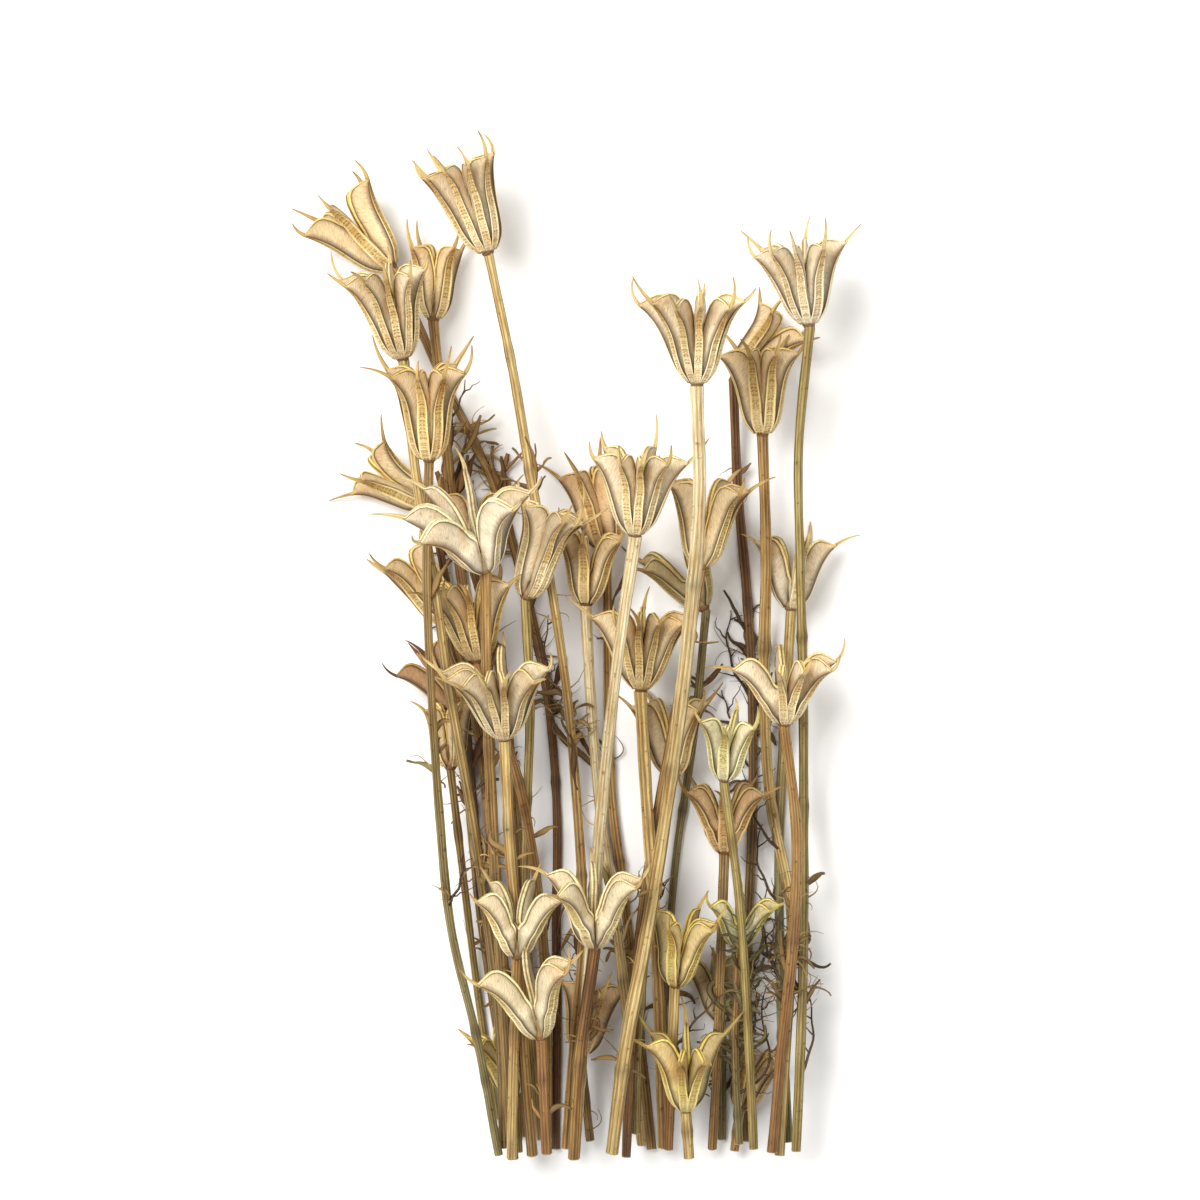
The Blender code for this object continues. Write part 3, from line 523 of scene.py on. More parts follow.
def choose_pose(pile, head, stem, rough, free_roll):
    """Pitch, roll and place that let a head lie low while it follows the slope of its stem."""
    spot = from_picture(head.base_px, head.height)
    cut_end = from_picture(stem.way[0], 3.0)
    reach = np.linalg.norm(spot - cut_end)
    step = 360.0 / len(follicle_turns(head))
    rolls = [k * step / 6 for k in range(6)] if free_roll else [-8.0, 0.0, 8.0]
    slide = 2.0 if free_roll else 1.0
    best = None
    for pitch in range(-4, head.pitch + 19, 3):
        for roll in rolls:
            frame = head_directions(head, pitch, head.roll + roll)
            turned = rough @ frame.T
            for dx in (-slide, 0.0, slide):
                for dy in (-slide, 0.0, slide):
                    height = pile.lift_for(turned + np.array([spot[0] + dx, spot[1] + dy, 0.0]))
                    slope = min(18.0, math.degrees(math.atan2(height - 4.0, reach)))
                    misfit = abs(pitch - slope - head.pitch)
                    cost = height + 0.6 * misfit + 0.4 * math.hypot(dx, dy)
                    if best is None or cost < best[0]:
                        best = (cost, pitch, head.roll + roll, spot + np.array([dx, dy]))
    return best[1:]


def lay_plant(pile, head, stem):
    """Lays a stem, its head and its threads. Returns head frame, head base, stem and threads."""
    lofts = head_lofts(head, stem)
    rough = np.vstack([skin_points(r, 0.8) for r in lofts])
    pile.widen()
    pitch, roll, spot = choose_pose(pile, head, stem, rough, not stem.alone)
    frame = head_directions(head, pitch, roll)
    local = np.vstack([skin_points(r) for r in lofts]) @ frame.T
    head_points = local + np.array([spot[0], spot[1], 0.0])
    base_height = pile.lift_for(head_points)
    axis = frame[:, 2]
    joint = np.array([spot[0], spot[1], 0.0]) - axis * (NECK_DROP + SEAT_GAP)
    heights = np.linspace(3.0, head.height, len(stem.way) + 1)[:-1]
    way = [from_picture(p, h) for p, h in zip(stem.way, heights)]
    way.append(joint[:2])
    line = smooth_way(way, STEM_STATION)
    half = stem.girth / 2
    fine = smooth_between(line, 0.6)
    need = pile.under(fine, half / math.cos(math.pi / 6) + SEAT_GAP)
    need = np.where(need > 0, need + half + SEAT_GAP, half)
    run = np.concatenate([[0], np.cumsum(np.linalg.norm(np.diff(fine, axis=0), axis=1))])
    need[-1] = max(need[-1], base_height + joint[2])
    rod = bent_over(run, need)
    line_run = np.concatenate([[0], np.cumsum(np.linalg.norm(np.diff(line, axis=0), axis=1))])
    line_run *= run[-1] / line_run[-1]
    z = np.interp(line_run, run, rod)
    for _ in range(6):
        short = need - np.interp(run, line_run, z)
        for k in range(len(z)):
            near = np.abs(run - line_run[k]) < STEM_STATION
            z[k] += max(0.0, short[near].max()) if near.any() else 0.0
    base = np.array([spot[0], spot[1], z[-1] - joint[2]])
    centre = np.column_stack([line, z])
    pile.add(local + base)
    pile.widen()
    threads = [thread_rings(t) for t in lay_threads(pile, stem, centre)]
    pile.add(skin_points(stem_rings(centre, half, axis)))
    for rings in threads:
        pile.add(skin_points(rings))
    return frame, base, centre, threads


def lay_threads(pile, stem, centre):
    """Centre lines of the thread leaves of one stem, laid over what lies under them."""
    laid = []
    half = THREAD_GIRTH / 2
    for number, way in THREADS:
        if number != stem.number:
            continue
        nearest = np.argmin(np.abs(centre[:, 1] - from_picture(way[0], centre[0, 2])[1]))
        level = centre[nearest, 2]
        places = [from_picture(p, level) for p in way]
        row = np.clip(places[0][1], centre[0, 1], centre[-1, 1])
        root = np.array([np.interp(row, centre[:, 1], centre[:, k]) for k in range(3)])
        places[0] = root[:2]
        line = smooth_way(places, THREAD_STATION)
        run = np.concatenate([[0], np.cumsum(np.linalg.norm(np.diff(line, axis=0), axis=1))])
        fine_run = np.linspace(0, run[-1], 60)
        fine = np.stack([np.interp(fine_run, run, line[:, k]) for k in range(2)], 1)
        need = pile.under(fine, half + SEAT_GAP) + half + SEAT_GAP
        beside_stem = fine_run < stem.girth
        need[beside_stem] = root[2]
        z = np.zeros(len(line))
        for k in range(len(line)):
            near = np.abs(fine_run - run[k]) <= THREAD_STATION
            z[k] = need[near].max()
        z[0] = root[2]
        laid.append(np.column_stack([line, np.maximum(z, root[2] - 0.3 * run)]))
    return laid


def thread_rings(line):
    """Three-cornered sections along a thread leaf that grows thinner to its tip."""
    rings = []
    last = len(line) - 1
    for k in range(len(line)):
        ahead = line[min(k + 1, last)] - line[max(k - 1, 0)]
        ahead /= np.linalg.norm(ahead)
        side = np.cross(ahead, [0.0, 0.0, 1.0])
        side /= np.linalg.norm(side)
        up = np.cross(side, ahead)
        reach = THREAD_GIRTH * (0.62 - 0.14 * k / last)
        ring = []
        for i in range(3):
            angle = math.radians(90 + 120 * i)
            ring.append(line[k] + reach * (math.cos(angle) * side + math.sin(angle) * up))
        rings.append(ring)
    return np.array(rings)


def smooth_between(line, spacing):
    """Close points along straight spans."""
    found = []
    for a, b in zip(line[:-1], line[1:]):
        steps = max(1, int(np.linalg.norm(b - a) / spacing))
        for s in range(steps):
            found.append(a + (b - a) * s / steps)
    found.append(line[-1])
    return np.array(found)


def stem_rings(centre, half, axis):
    """Six-cornered sections square to the stem, with a flat side down. The last is square to axis."""
    corner_reach = half / math.cos(math.pi / 6)
    rings = []
    last = len(centre) - 1
    for k in range(len(centre)):
        ahead = centre[min(k + 1, last)] - centre[max(k - 1, 0)]
        ahead = ahead / np.linalg.norm(ahead) if k < last else axis
        side = np.cross(ahead, [0.0, 0.0, 1.0])
        side /= np.linalg.norm(side)
        up = np.cross(side, ahead)
        ring = []
        for i in range(6):
            angle = 2 * math.pi * i / 6
            ring.append(centre[k] + corner_reach * (math.cos(angle) * side + math.sin(angle) * up))
        rings.append(ring)
    return np.array(rings)

def linear(red, green, blue):
    """A colour given as it shows on a screen, 0 to 255, as linear shares."""
    shares = np.array([red, green, blue], float) / 255.0
    return np.where(shares <= 0.04045, shares / 12.92, ((shares + 0.055) / 1.055) ** 2.4)


# Colours of the parts of a follicle, for each tint that the heads come in. The crease colour is
# partly the pod's own brown line and partly painted shade
POD_COLOURS = {
    "PALE": {"rib": (250, 240, 202), "strip": (232, 214, 166), "wall": (238, 225, 198),
             "rim": (250, 238, 190), "dark_line_and_shade": (116, 66, 22), "beak": (226, 204, 148),
             "top": (188, 146, 78)},
    "VEE": {"rib": (244, 230, 178), "strip": (222, 200, 138), "wall": (228, 213, 180),
            "rim": (246, 232, 176), "dark_line_and_shade": (96, 58, 18), "beak": (208, 180, 120),
            "top": (184, 146, 74)},
    "CREAM": {"rib": (248, 232, 182), "strip": (226, 204, 146), "wall": (240, 224, 192),
              "rim": (244, 224, 158), "dark_line_and_shade": (98, 55, 16), "beak": (216, 190, 130),
              "top": (178, 134, 60)},
    "STRAW": {"rib": (238, 216, 150), "strip": (208, 180, 114), "wall": (232, 209, 166),
              "rim": (232, 202, 124), "dark_line_and_shade": (82, 42, 12), "beak": (200, 168, 106),
              "top": (158, 110, 46)},
    "TAN": {"rib": (226, 197, 136), "strip": (190, 156, 96), "wall": (216, 184, 138),
            "rim": (218, 184, 112), "dark_line_and_shade": (66, 34, 10), "beak": (180, 146, 90),
            "top": (138, 94, 44)},
    "BROWN": {"rib": (196, 160, 102), "strip": (158, 120, 72), "wall": (176, 138, 94),
              "rim": (184, 142, 80), "dark_line_and_shade": (50, 26, 10), "beak": (104, 66, 32),
              "top": (108, 68, 32)},
    "YELLOW": {"rib": (238, 218, 134), "strip": (208, 184, 98), "wall": (226, 206, 150),
               "rim": (234, 210, 116), "dark_line_and_shade": (90, 58, 14), "beak": (206, 178, 104),
               "top": (166, 126, 48)},
    "LIME": {"rib": (232, 224, 150), "strip": (200, 192, 112), "wall": (218, 212, 172),
             "rim": (226, 216, 132), "dark_line_and_shade": (80, 62, 14), "beak": (198, 178, 96),
             "top": (164, 142, 56)},
    "GREENISH": {"rib": (240, 234, 178), "strip": (214, 206, 146), "wall": (228, 222, 188),
                 "rim": (236, 226, 156), "dark_line_and_shade": (92, 66, 18), "beak": (212, 192, 124),
                 "top": (176, 148, 72)},
    "MOSS": {"rib": (210, 196, 142), "strip": (178, 162, 110), "wall": (194, 176, 134),
             "rim": (196, 176, 114), "dark_line_and_shade": (56, 40, 16), "beak": (160, 130, 78),
             "top": (138, 112, 62)},
}
# Heads whose tone differs from that of their solid
HEAD_LOOK = {
    12: "STRAW", 22: "CREAM", 23: "PALE", 24: "STRAW", 28: "CREAM", 30: "GREENISH", 32: "VEE",
    33: "VEE", 34: "VEE", 38: "LIME"}

STEM_COLOURS = {
    "PALE": ((238, 226, 188), (184, 154, 102)),
    "STRAW": ((226, 202, 138), (156, 120, 62)),
    "TAN": ((200, 162, 98), (118, 80, 38)),
    "BROWN": ((146, 104, 58), (72, 44, 22)),
    "MOSS": ((168, 154, 102), (100, 86, 50)),
    "OLIVE": ((190, 170, 106), (120, 98, 48)),
    "GREEN": ((158, 152, 102), (88, 90, 52)),
    "UMBER": ((176, 144, 84), (88, 66, 32)),
    "RUST": ((182, 136, 80), (110, 72, 36)),
    "DARK": ((104, 74, 42), (50, 32, 16)),
}
# Colour at the head and colour at the cut end, where a stem differs from its solid
STEM_LOOK = {
    1: ("STRAW", "TAN"), 2: ("TAN", "BROWN"), 3: ("STRAW", "UMBER"), 5: ("UMBER", "MOSS"),
    6: ("BROWN", "UMBER"), 8: ("TAN", "UMBER"), 9: ("BROWN", "UMBER"), 10: ("OLIVE", "STRAW"),
    11: ("TAN", "RUST"), 12: ("RUST", "TAN"), 13: ("STRAW", "TAN"), 14: ("DARK", "BROWN"),
    15: ("UMBER", "OLIVE"), 16: ("PALE", "STRAW"), 17: ("TAN", "TAN"), 18: ("PALE", "PALE"),
    19: ("TAN", "BROWN"), 21: ("STRAW", "TAN"), 22: ("PALE", "STRAW"), 24: ("BROWN", "UMBER"),
    26: ("TAN", "STRAW"), 27: ("STRAW", "GREEN"), 28: ("TAN", "RUST"), 29: ("STRAW", "OLIVE"),
    30: ("OLIVE", "OLIVE"), 31: ("UMBER", "TAN"), 32: ("BROWN", "TAN"), 33: ("TAN", "STRAW"),
    34: ("RUST", "RUST"), 35: ("TAN", "OLIVE"), 36: ("BROWN", "UMBER"), 37: ("STRAW", "RUST"),
    38: ("RUST", "MOSS")}
# Length of the pale edge at the cut end of a stem, in mm
CUT_EDGE = 0.3
SCAR = (134, 76, 30)
# Inside of a follicle, seen where its seam parts: partly its own colour, partly painted shade
INSIDE_AND_SHADE = (186, 124, 58)
THREAD = (74, 50, 30)
CURL = (178, 144, 86)
# Plants whose dead threads are darker and greener: their two colours
OLIVE_THREADS = {30: ((52, 48, 28), (146, 132, 80)), 38: ((52, 46, 26), (150, 132, 76)),
                 39: ((56, 50, 30), (140, 124, 74))}

# Half of a cross-section, from the middle of the back strip round to the seam:
# share of strip half width, share of seam half width, share of depth, fixed depth in mm, colour,
# and a tone for that colour. The crease colour is partly the pod's own brown line, partly painted
# shade; the low tones of the wall points beside the creases are painted shade, and the tones above
# 1 on the rim are partly its own pale colour, partly a painted highlight.
HALF_SECTION = [
    (0.00, 0.0, 0.00, -0.06, "strip", 0.94),
    (0.28, 0.0, 0.00, 0.08, "strip", 0.86),
    (0.58, 0.0, 0.00, 0.13, "strip", 0.96),
    (0.80, 0.0, 0.00, -0.04, "rib", 1.0),
    (0.96, 0.0, 0.00, -0.13, "rib", 1.0),
    (1.08, 0.0, 0.00, 0.00, "rib", 0.94),
    (1.08, 0.0, 0.00, 0.20, "dark_line_and_shade", 0.7),
    (0.94, 0.0, 0.07, 0.32, "wall", 0.38),
    (0.86, 0.0, 0.26, 0.12, "wall", 1.0),
    (0.74, 0.1, 0.48, 0.02, "wall", 1.03),
    (0.50, 0.4, 0.74, -0.05, "wall", 0.95),
    (0.14, 1.0, 1.00, -1.02, "wall", 0.58),
    (0.04, 1.0, 1.00, -0.76, "dark_line_and_shade", 0.7),
    (0.03, 1.6, 1.00, -0.50, "rim", 1.04),
    (0.01, 1.7, 1.00, -0.22, "rim", 1.1),
    (0.00, 1.0, 1.00, 0.04, "rim", 1.0),
    (0.00, 0.0, 1.00, -0.06, "dark_line_and_shade", 1.2),
]

# Depth of a follicle along its back line, with a rounded shoulder that dips to the beak
DEPTH_AT = (0.0, 0.06, 0.16, 0.34, 0.55, 0.72, 0.84, 0.90, 0.94, 0.965, 0.985, 1.0)
DEPTH_SHARE = (0.03, 0.10, 0.17, 0.24, 0.272, 0.287, 0.285, 0.268, 0.225, 0.16, 0.085, 0.042)
STRIP_AT = (0.0, 0.05, 0.15, 0.34, 0.66, 0.86, 1.0)
STRIP_WIDE = (0.5, 0.95, 1.25, 1.35, 1.25, 0.88, 0.38)
SEAM_WIDE = (0.30, 0.32, 0.34, 0.36, 0.40, 0.40, 0.30)

BODY_RINGS = 34
BEAK_RINGS = 10


def lobed_line(length, shape, share):
    """The back line, with its foot rounded down to the neck."""
    line = back_line(length, shape, share)
    foot = np.clip(1 - np.asarray(share) / 0.16, 0, 1) ** 1.5
    line[:, 1] -= 0.75 * foot
    line[:, 0] += 0.25 * foot
    return line


def follicle_mesh(head, shape, rng, open_seam):
    """Fine form of one follicle: places, pattern places, and colours, ring by ring."""
    length = head.length
    look = HEAD_LOOK.get(head.number, head.tint)
    colours = {k: linear(*v) for k, v in POD_COLOURS[look].items()}
    out = np.array([math.cos(shape["turn"]), math.sin(shape["turn"]), 0.0])
    across = np.array([-math.sin(shape["turn"]), math.cos(shape["turn"]), 0.0])
    along = np.array([0.0, 0.0, 1.0])
    spread = np.linspace(0, 1, BODY_RINGS)
    at = 1 - (1 - spread) ** 1.35 * (1 - 0.25 * spread)
    at = np.clip(0.02 + 0.98 * (at - at[0]) / (at[-1] - at[0]), 0, 1)
    outer = lobed_line(length, shape, at)
    ahead = lobed_line(length, shape, at + 0.001) - outer
    ahead /= np.linalg.norm(ahead, axis=1)[:, None]
    inward = np.stack([-ahead[:, 1], ahead[:, 0]], 1)
    depth = length * np.interp(at, DEPTH_AT, DEPTH_SHARE)
    depth *= 1 + shape["deep"]
    # below the fork the follicles grow together at the middle of the head
    joined = np.clip((0.56 + shape["fork"] - at) / 0.14, 0, 1)
    reach = (outer[:, 0] - 0.3) / np.maximum(-inward[:, 0], 0.35)
    joined = joined * joined * (3 - 2 * joined)
    if shape["joins"]:
        depth = depth + np.clip(reach - depth, 0, 5.0) * joined
    else:
        depth = depth - np.clip(depth - (reach - 1.4), 0, 0.6 * depth) * joined
    run = np.concatenate([[0], np.cumsum(np.linalg.norm(np.diff(outer, axis=0), axis=1))])
    steep = np.clip(np.abs(np.gradient(depth, run)), 0, 2.2)
    edge = np.sqrt(1 + steep ** 2)
    half = np.interp(at, STRIP_AT, STRIP_WIDE) * shape["narrow"]
    seam = np.interp(at, STRIP_AT, SEAM_WIDE) * (1 + 0.7 * open_seam * np.clip((at - 0.3) * 3, 0, 1))
    seam_joined = np.clip((0.50 + shape["fork"] - at) / 0.10, 0, 1) * shape["joins"]
    seam = seam * (1 - 0.6 * seam_joined)
    # beak
    angle0 = math.atan2(ahead[-1, 0], ahead[-1, 1])
    s = np.linspace(0, 1, BEAK_RINGS + 1)[1:]
    angle = angle0 + shape["bend"] * np.clip(0.1 + s, 0, 1.1)
    step = shape["beak"] * length / BEAK_RINGS
    heading = np.stack([np.sin(angle), np.cos(angle)], 1)
    start = outer[-1]
    beak_outer = start + np.cumsum(heading * step, axis=0)
    beak_inward = np.stack([-heading[:, 1], heading[:, 0]], 1)
    sway = np.cumsum(shape["sway"] * step * 2 * s)
    outer = np.vstack([outer, beak_outer])
    inward = np.vstack([inward, beak_inward])
    beak_depth = depth[-1] * (1 - s) ** 0.7 * 0.82 + 0.14
    depth = np.concatenate([depth, beak_depth])
    beak_half = 0.27 * (1 - s) ** 0.6 + 0.08
    half = np.concatenate([half, beak_half])
    seam = np.concatenate([seam, 0.3 * (1 - s) + 0.06])
    edge = np.concatenate([edge, np.ones(BEAK_RINGS)])
    sideways = np.concatenate([np.zeros(BODY_RINGS), sway])
    t_all = np.concatenate([at, 1 + s])
    run_all = np.concatenate([run, run[-1] + step * np.arange(1, BEAK_RINGS + 1)])
    rings = len(t_all)
    # fixed parts of the section shrink with the beak
    small = np.where(t_all > 1, np.clip(half / 0.55, 0.12, 1), 1.0)
    small = np.minimum(small, np.clip(half / 1.0, 0.1, 1))
    warp_phase = rng.uniform(0, 6.28)
    warp = 0.16 * np.sin(run_all * 0.55 + warp_phase) * np.clip(t_all * 2 - 0.5, 0, 1)
    warp = np.where(t_all > 1, warp[BODY_RINGS - 1] * np.clip(1.6 - 0.6 * t_all, 0, 1), warp)
    xs, ds, tones = [], [], []
    for wide, seam_share, deep, fixed, part, _ in HALF_SECTION:
        x = wide * half + seam_share * seam
        d = deep * depth + fixed * small * (edge if deep == 1.0 else 1.0)
        if deep == 1.0 and part == "dark_line_and_shade" and wide == 0.0:
            d = d - open_seam * np.clip((t_all - 0.25) * 4, 0, 1) * 0.45 * depth * (t_all <= 1)
        if 0.0 < deep < 1.0:
            puff = math.sin(math.pi * deep) * (0.10 + shape["puff"]) * depth * 0.28
            lumps = 0.05 * np.sin(run_all * 2.1 + 5 * deep + warp_phase)
            x = x + (puff + lumps) * (t_all <= 1)
        d = np.clip(d, -0.2, None)
        xs.append(x)
        ds.append(np.minimum(d, depth + 0.1) if deep < 1.0 else d)
        tones.append(part)
    xs, ds = np.array(xs), np.array(ds)
    order = list(range(len(HALF_SECTION))) + list(range(len(HALF_SECTION) - 2, 0, -1))
    sign = np.array([1.0] * len(HALF_SECTION) + [-1.0] * (len(HALF_SECTION) - 2))
    x_flat = xs[order] * sign[:, None]
    d_flat = ds[order]
    roll = shape["roll"] * np.clip(1.6 - t_all, 0, 1)[None, :]
    grown = np.concatenate([joined, np.zeros(BEAK_RINGS)])
    middle = (depth * (0.5 + 0.5 * grown))[None, :]
    x_all = x_flat * np.cos(roll) - (d_flat - middle) * np.sin(roll)
    d_all = middle + x_flat * np.sin(roll) + (d_flat - middle) * np.cos(roll)
    two_d = outer[None, :, :] + inward[None, :, :] * d_all[:, :, None]
    low_part = (t_all[None, :] < 0.9) & (d_all > 0.4)
    two_d[:, :, 0] = np.where(low_part, np.maximum(two_d[:, :, 0], 0.3), two_d[:, :, 0])
    places = (out * two_d[:, :, :1] + along * two_d[:, :, 1:2]
              + across * (x_all + warp[None, :] + sideways[None, :])[:, :, None])
    places = places.transpose(1, 0, 2)
    # distance round the section, from the middle of the strip
    half_run = np.zeros_like(xs)
    half_run[1:] = np.cumsum(np.hypot(np.diff(xs, axis=0), np.diff(ds, axis=0)), axis=0)
    round_run = half_run[order].T
    pattern = np.zeros((rings, len(order), 3))
    pattern[:, :, 0] = run_all[:, None]
    pattern[:, :, 1] = round_run
    pattern[:, :, 2] = np.array([HALF_SECTION[i][2] for i in order])[None, :]
    pattern[:, :, 2] -= 3.0 * np.clip((t_all - 0.97) / 0.03, 0, 1)[:, None]
    # colours
    base = np.array([colours[tones[i]] * HALF_SECTION[i][5] for i in order])
    base = base[None, :, :].repeat(rings, 0)
    t_col = t_all[:, None, None]
    low = np.clip((0.05 - t_col) / 0.05, 0, 1)
    on_seam = np.array([HALF_SECTION[i][2] == 1.0 for i in order])[None, :, None]
    hidden = 0.75 * np.concatenate([seam_joined, np.zeros(BEAK_RINGS)])[:, None, None]
    base = np.where(on_seam, base * (1 - hidden) + colours["wall"] * 0.85 * hidden, base)
    high = np.clip((t_col - 0.55) / 0.4, 0, 1) * (t_col <= 1)
    # tone differs at random from follicle to follicle; on the back follicles of open heads it is also
    # lowered as painted shade
    tone = 1 + shape["tone"]
    is_strip = np.array([tones[i] in ("strip", "rib") for i in order])[None, :, None]
    is_wall = np.array([tones[i] == "wall" for i in order])[None, :, None]
    base = base * tone
    pale_foot = 0.45 * np.clip((0.6 - t_col) / 0.3, 0, 1)
    base = np.where(is_strip, base * (1 - pale_foot) + 1.08 * colours["wall"] * pale_foot, base)
    # the upper part of strips and walls turns toward the golden-brown top colour
    top_blend = shape["gold"] * high
    base = np.where(is_strip, base * (1 - top_blend) + colours["top"] * top_blend, base)
    base = np.where(is_wall, base * (1 - 0.45 * top_blend) + colours["top"] * 0.45 * top_blend, base)
    # walls grow darker toward the foot of the head: painted shade where the follicles crowd together
    dim_wall = np.clip((0.5 - t_col) / 0.4, 0, 1)
    base = np.where(is_wall, base * (1 - shape["dim"] * dim_wall), base)
    base = base * (1 - low * 0.45) + linear(*SCAR) * low * 0.45
    beak = np.clip((t_col - 0.97) / 0.06, 0, 1)
    beak_colour = colours["beak"] * tone
    tip = np.clip((t_col - 1.6) / 0.4, 0, 1) * (0.35 + 0.5 * shape["dark_tip"])
    beak_shade = beak_colour * (1 - tip) + linear(*SCAR) * 0.75 * tip
    # the crease colour, partly painted shade, is kept part way into the beak
    on_dark_line_and_shade = np.array([tones[i] == "dark_line_and_shade" for i in order])[None, :, None]
    keep = np.where(on_dark_line_and_shade, 0.45 * np.clip(2 - t_col, 0, 1), 0.0)
    base = base * (1 - beak * (1 - keep)) + beak_shade * beak * (1 - keep)
    # where the seam parts, its inside takes the inside colour at 0.8: partly its own colour, partly
    # painted shade in the opening
    if open_seam > 0:
        seam_inside = np.array([i == len(HALF_SECTION) - 1 for i in order])[None, :, None]
        shaded_gap = seam_inside & (t_col > 0.3) & (t_col <= 1)
        base = np.where(shaded_gap, linear(*INSIDE_AND_SHADE) * 0.8, base)
    return places, pattern, base


def grid_faces(rings, around, offset):
    """Quads between rings of a tube, numbered from offset."""
    k = np.arange(rings - 1)[:, None] * around
    i = np.arange(around)[None, :]
    j = (i + 1) % around
    quads = np.stack([k + i, k + j, k + around + j, k + around + i], -1).reshape(-1, 4)
    return quads + offset


class Skin:
    """Collects tubes that become one mesh."""

    def __init__(self, table):
        self.places, self.pattern, self.colour, self.faces = [], [], [], []
        self.count = 0
        self.table = table

    def add(self, places, pattern, colour):
        rings, around = places.shape[:2]
        self.faces.extend(grid_faces(rings, around, self.count).tolist())
        self.faces.append([self.count + i for i in reversed(range(around))])
        start = self.count + (rings - 1) * around
        self.faces.append([start + i for i in range(around)])
        lift = np.maximum(self.table + 0.05 - places[:, :, 2].min(axis=1), 0)
        places = places + lift[:, None, None] * np.array([0.0, 0.0, 1.0])
        self.places.append(places.reshape(-1, 3))
        self.pattern.append(pattern.reshape(-1, 3))
        self.colour.append(np.clip(colour.reshape(-1, 3), 0, 1))
        self.count += rings * around

    def make(self, name, material, move):
        places = (np.vstack(self.places) + move) * METRES_PER_MM
        mesh = bpy.data.meshes.new(name)
        mesh.from_pydata(places.tolist(), [], self.faces)
        where = mesh.attributes.new("pattern", "FLOAT_VECTOR", "POINT")
        where.data.foreach_set("vector", np.vstack(self.pattern).astype(np.float32).ravel())
        shade = mesh.attributes.new("shade", "FLOAT_COLOR", "POINT")
        rgba = np.ones((self.count, 4), np.float32)
        rgba[:, :3] = np.vstack(self.colour)
        shade.data.foreach_set("color", rgba.ravel())
        mesh.polygons.foreach_set("use_smooth", [True] * len(mesh.polygons))
        mesh.update()
        form = bmesh.new()
        form.from_mesh(mesh)
        bmesh.ops.recalc_face_normals(form, faces=form.faces[:])
        form.to_mesh(mesh)
        form.free()
        piece = bpy.data.objects.new(name, mesh)
        bpy.context.scene.collection.objects.link(piece)
        mesh.materials.append(material)
        return piece


def lathe(levels, around, wobble, rng):
    """A turned form with an uneven rim. levels are (height, radius)."""
    places = np.zeros((len(levels), around, 3))
    angles = np.linspace(0, 2 * math.pi, around, endpoint=False)
    phases = [rng.uniform(0, 6.28) for _ in range(3)]
    uneven = sum(np.sin((3 + 2 * m) * angles + phases[m]) for m in range(3)) / 3
    for k, (height, radius) in enumerate(levels):
        r = radius * (1 + wobble * uneven)
        places[k, :, 0] = r * np.cos(angles)
        places[k, :, 1] = r * np.sin(angles)
        places[k, :, 2] = height + 0.5 * wobble * radius * uneven
    return places


# Heads whose two broad walls face the eye: how far the seams part, and how far each follicle
# is turned about its own length so that its back strip shows, in degrees
OPEN_HEADS = {8: (0.5, 20), 32: (0.2, 30), 33: (0.2, 30), 34: (0.2, 30), 28: (0.2, 16),
              31: (0.0, 24), 37: (0.0, 16), 40: (0.0, 16)}


def dress_head(head, frame_axes, base, name, node, material, move):
    rng = random.Random(7000 + head.number)
    skin = Skin(-move[2])
    for shape in follicle_shapes(head):
        shape = dict(shape)
        shape["deep"] = rng.uniform(-0.06, 0.05)
        shape["puff"] = rng.uniform(-0.08, 0.12)
        shape["tone"] = rng.uniform(-0.14, 0.10)
        shape["dark_tip"] = rng.random()
        shape["fork"] = rng.uniform(-0.05, 0.03)
        # how far the painted shade darkens the walls toward the foot
        shape["dim"] = rng.uniform(0.12, 0.4)
        shape["gold"] = rng.uniform(0.35, 0.95)
        open_seam, roll = OPEN_HEADS.get(head.number, (0.0, 0))
        lift = -math.sin(shape["turn"]) * frame_axes[2, 0] + math.cos(shape["turn"]) * frame_axes[2, 1]
        shape["roll"] = math.radians(roll) * lift
        facing = math.cos(shape["turn"]) * frame_axes[2, 0] + math.sin(shape["turn"]) * frame_axes[2, 1]
        shape["joins"] = 1.0
        # follicles of an open head that point down lie behind the others: they are kept apart, made
        # shallower and painted darker as painted shade
        if roll and facing < -0.35:
            shape["joins"] = 0.0
            shape["deep"] -= 0.15
            shape["tone"] -= 0.2
            open_seam = 0.0
        places, pattern, colour = follicle_mesh(head, shape, rng, open_seam)
        pattern[:, :, 0] += rng.uniform(0, 50)
        skin.add(places @ frame_axes.T + base, pattern, colour)
    length = head.length
    levels = [(-NECK_DROP, 1.15), (-1.0, 1.25), (-0.75, 1.5), (-0.5, 1.52), (-0.1, 1.5),
              (0.04 * length, 1.45), (0.1 * length, 0.8), (0.2 * length, 0.4)]
    core = lathe(levels, 30, 0.15, rng)
    pattern = np.zeros_like(core)
    pattern[:, :, 0] = core[:, :, 2] + 3
    pattern[:, :, 1] = 1.8
    pattern[:, :, 2] = 0.3
    shade = np.zeros_like(core)
    scar = linear(*SCAR)
    strip = linear(*POD_COLOURS[HEAD_LOOK.get(head.number, head.tint)]["strip"])
    mixes = ((0.3, 0.8), (1.0, 0.5), (0.8, 0.75), (0.7, 0.55), (0.6, 0.6), (0.5, 0.7), (0.4, 0.7),
             (0.4, 0.6))
    for k, (share, tone) in enumerate(mixes):
        shade[k] = (scar * share + strip * (1 - share)) * tone
    skin.add(core @ frame_axes.T + base, pattern, shade)
    piece = skin.make(name, material, move)
    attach(piece, "root")
    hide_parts(node)
    return piece


def tube_frames(line):
    """Side and up of each point of a line, turned as little as possible."""
    ahead = np.gradient(line, axis=0)
    ahead /= np.linalg.norm(ahead, axis=1)[:, None]
    side = np.cross(ahead, [0.0, 0.0, 1.0])
    side /= np.maximum(np.linalg.norm(side, axis=1), 1e-6)[:, None]
    up = np.cross(side, ahead)
    return ahead, side, up


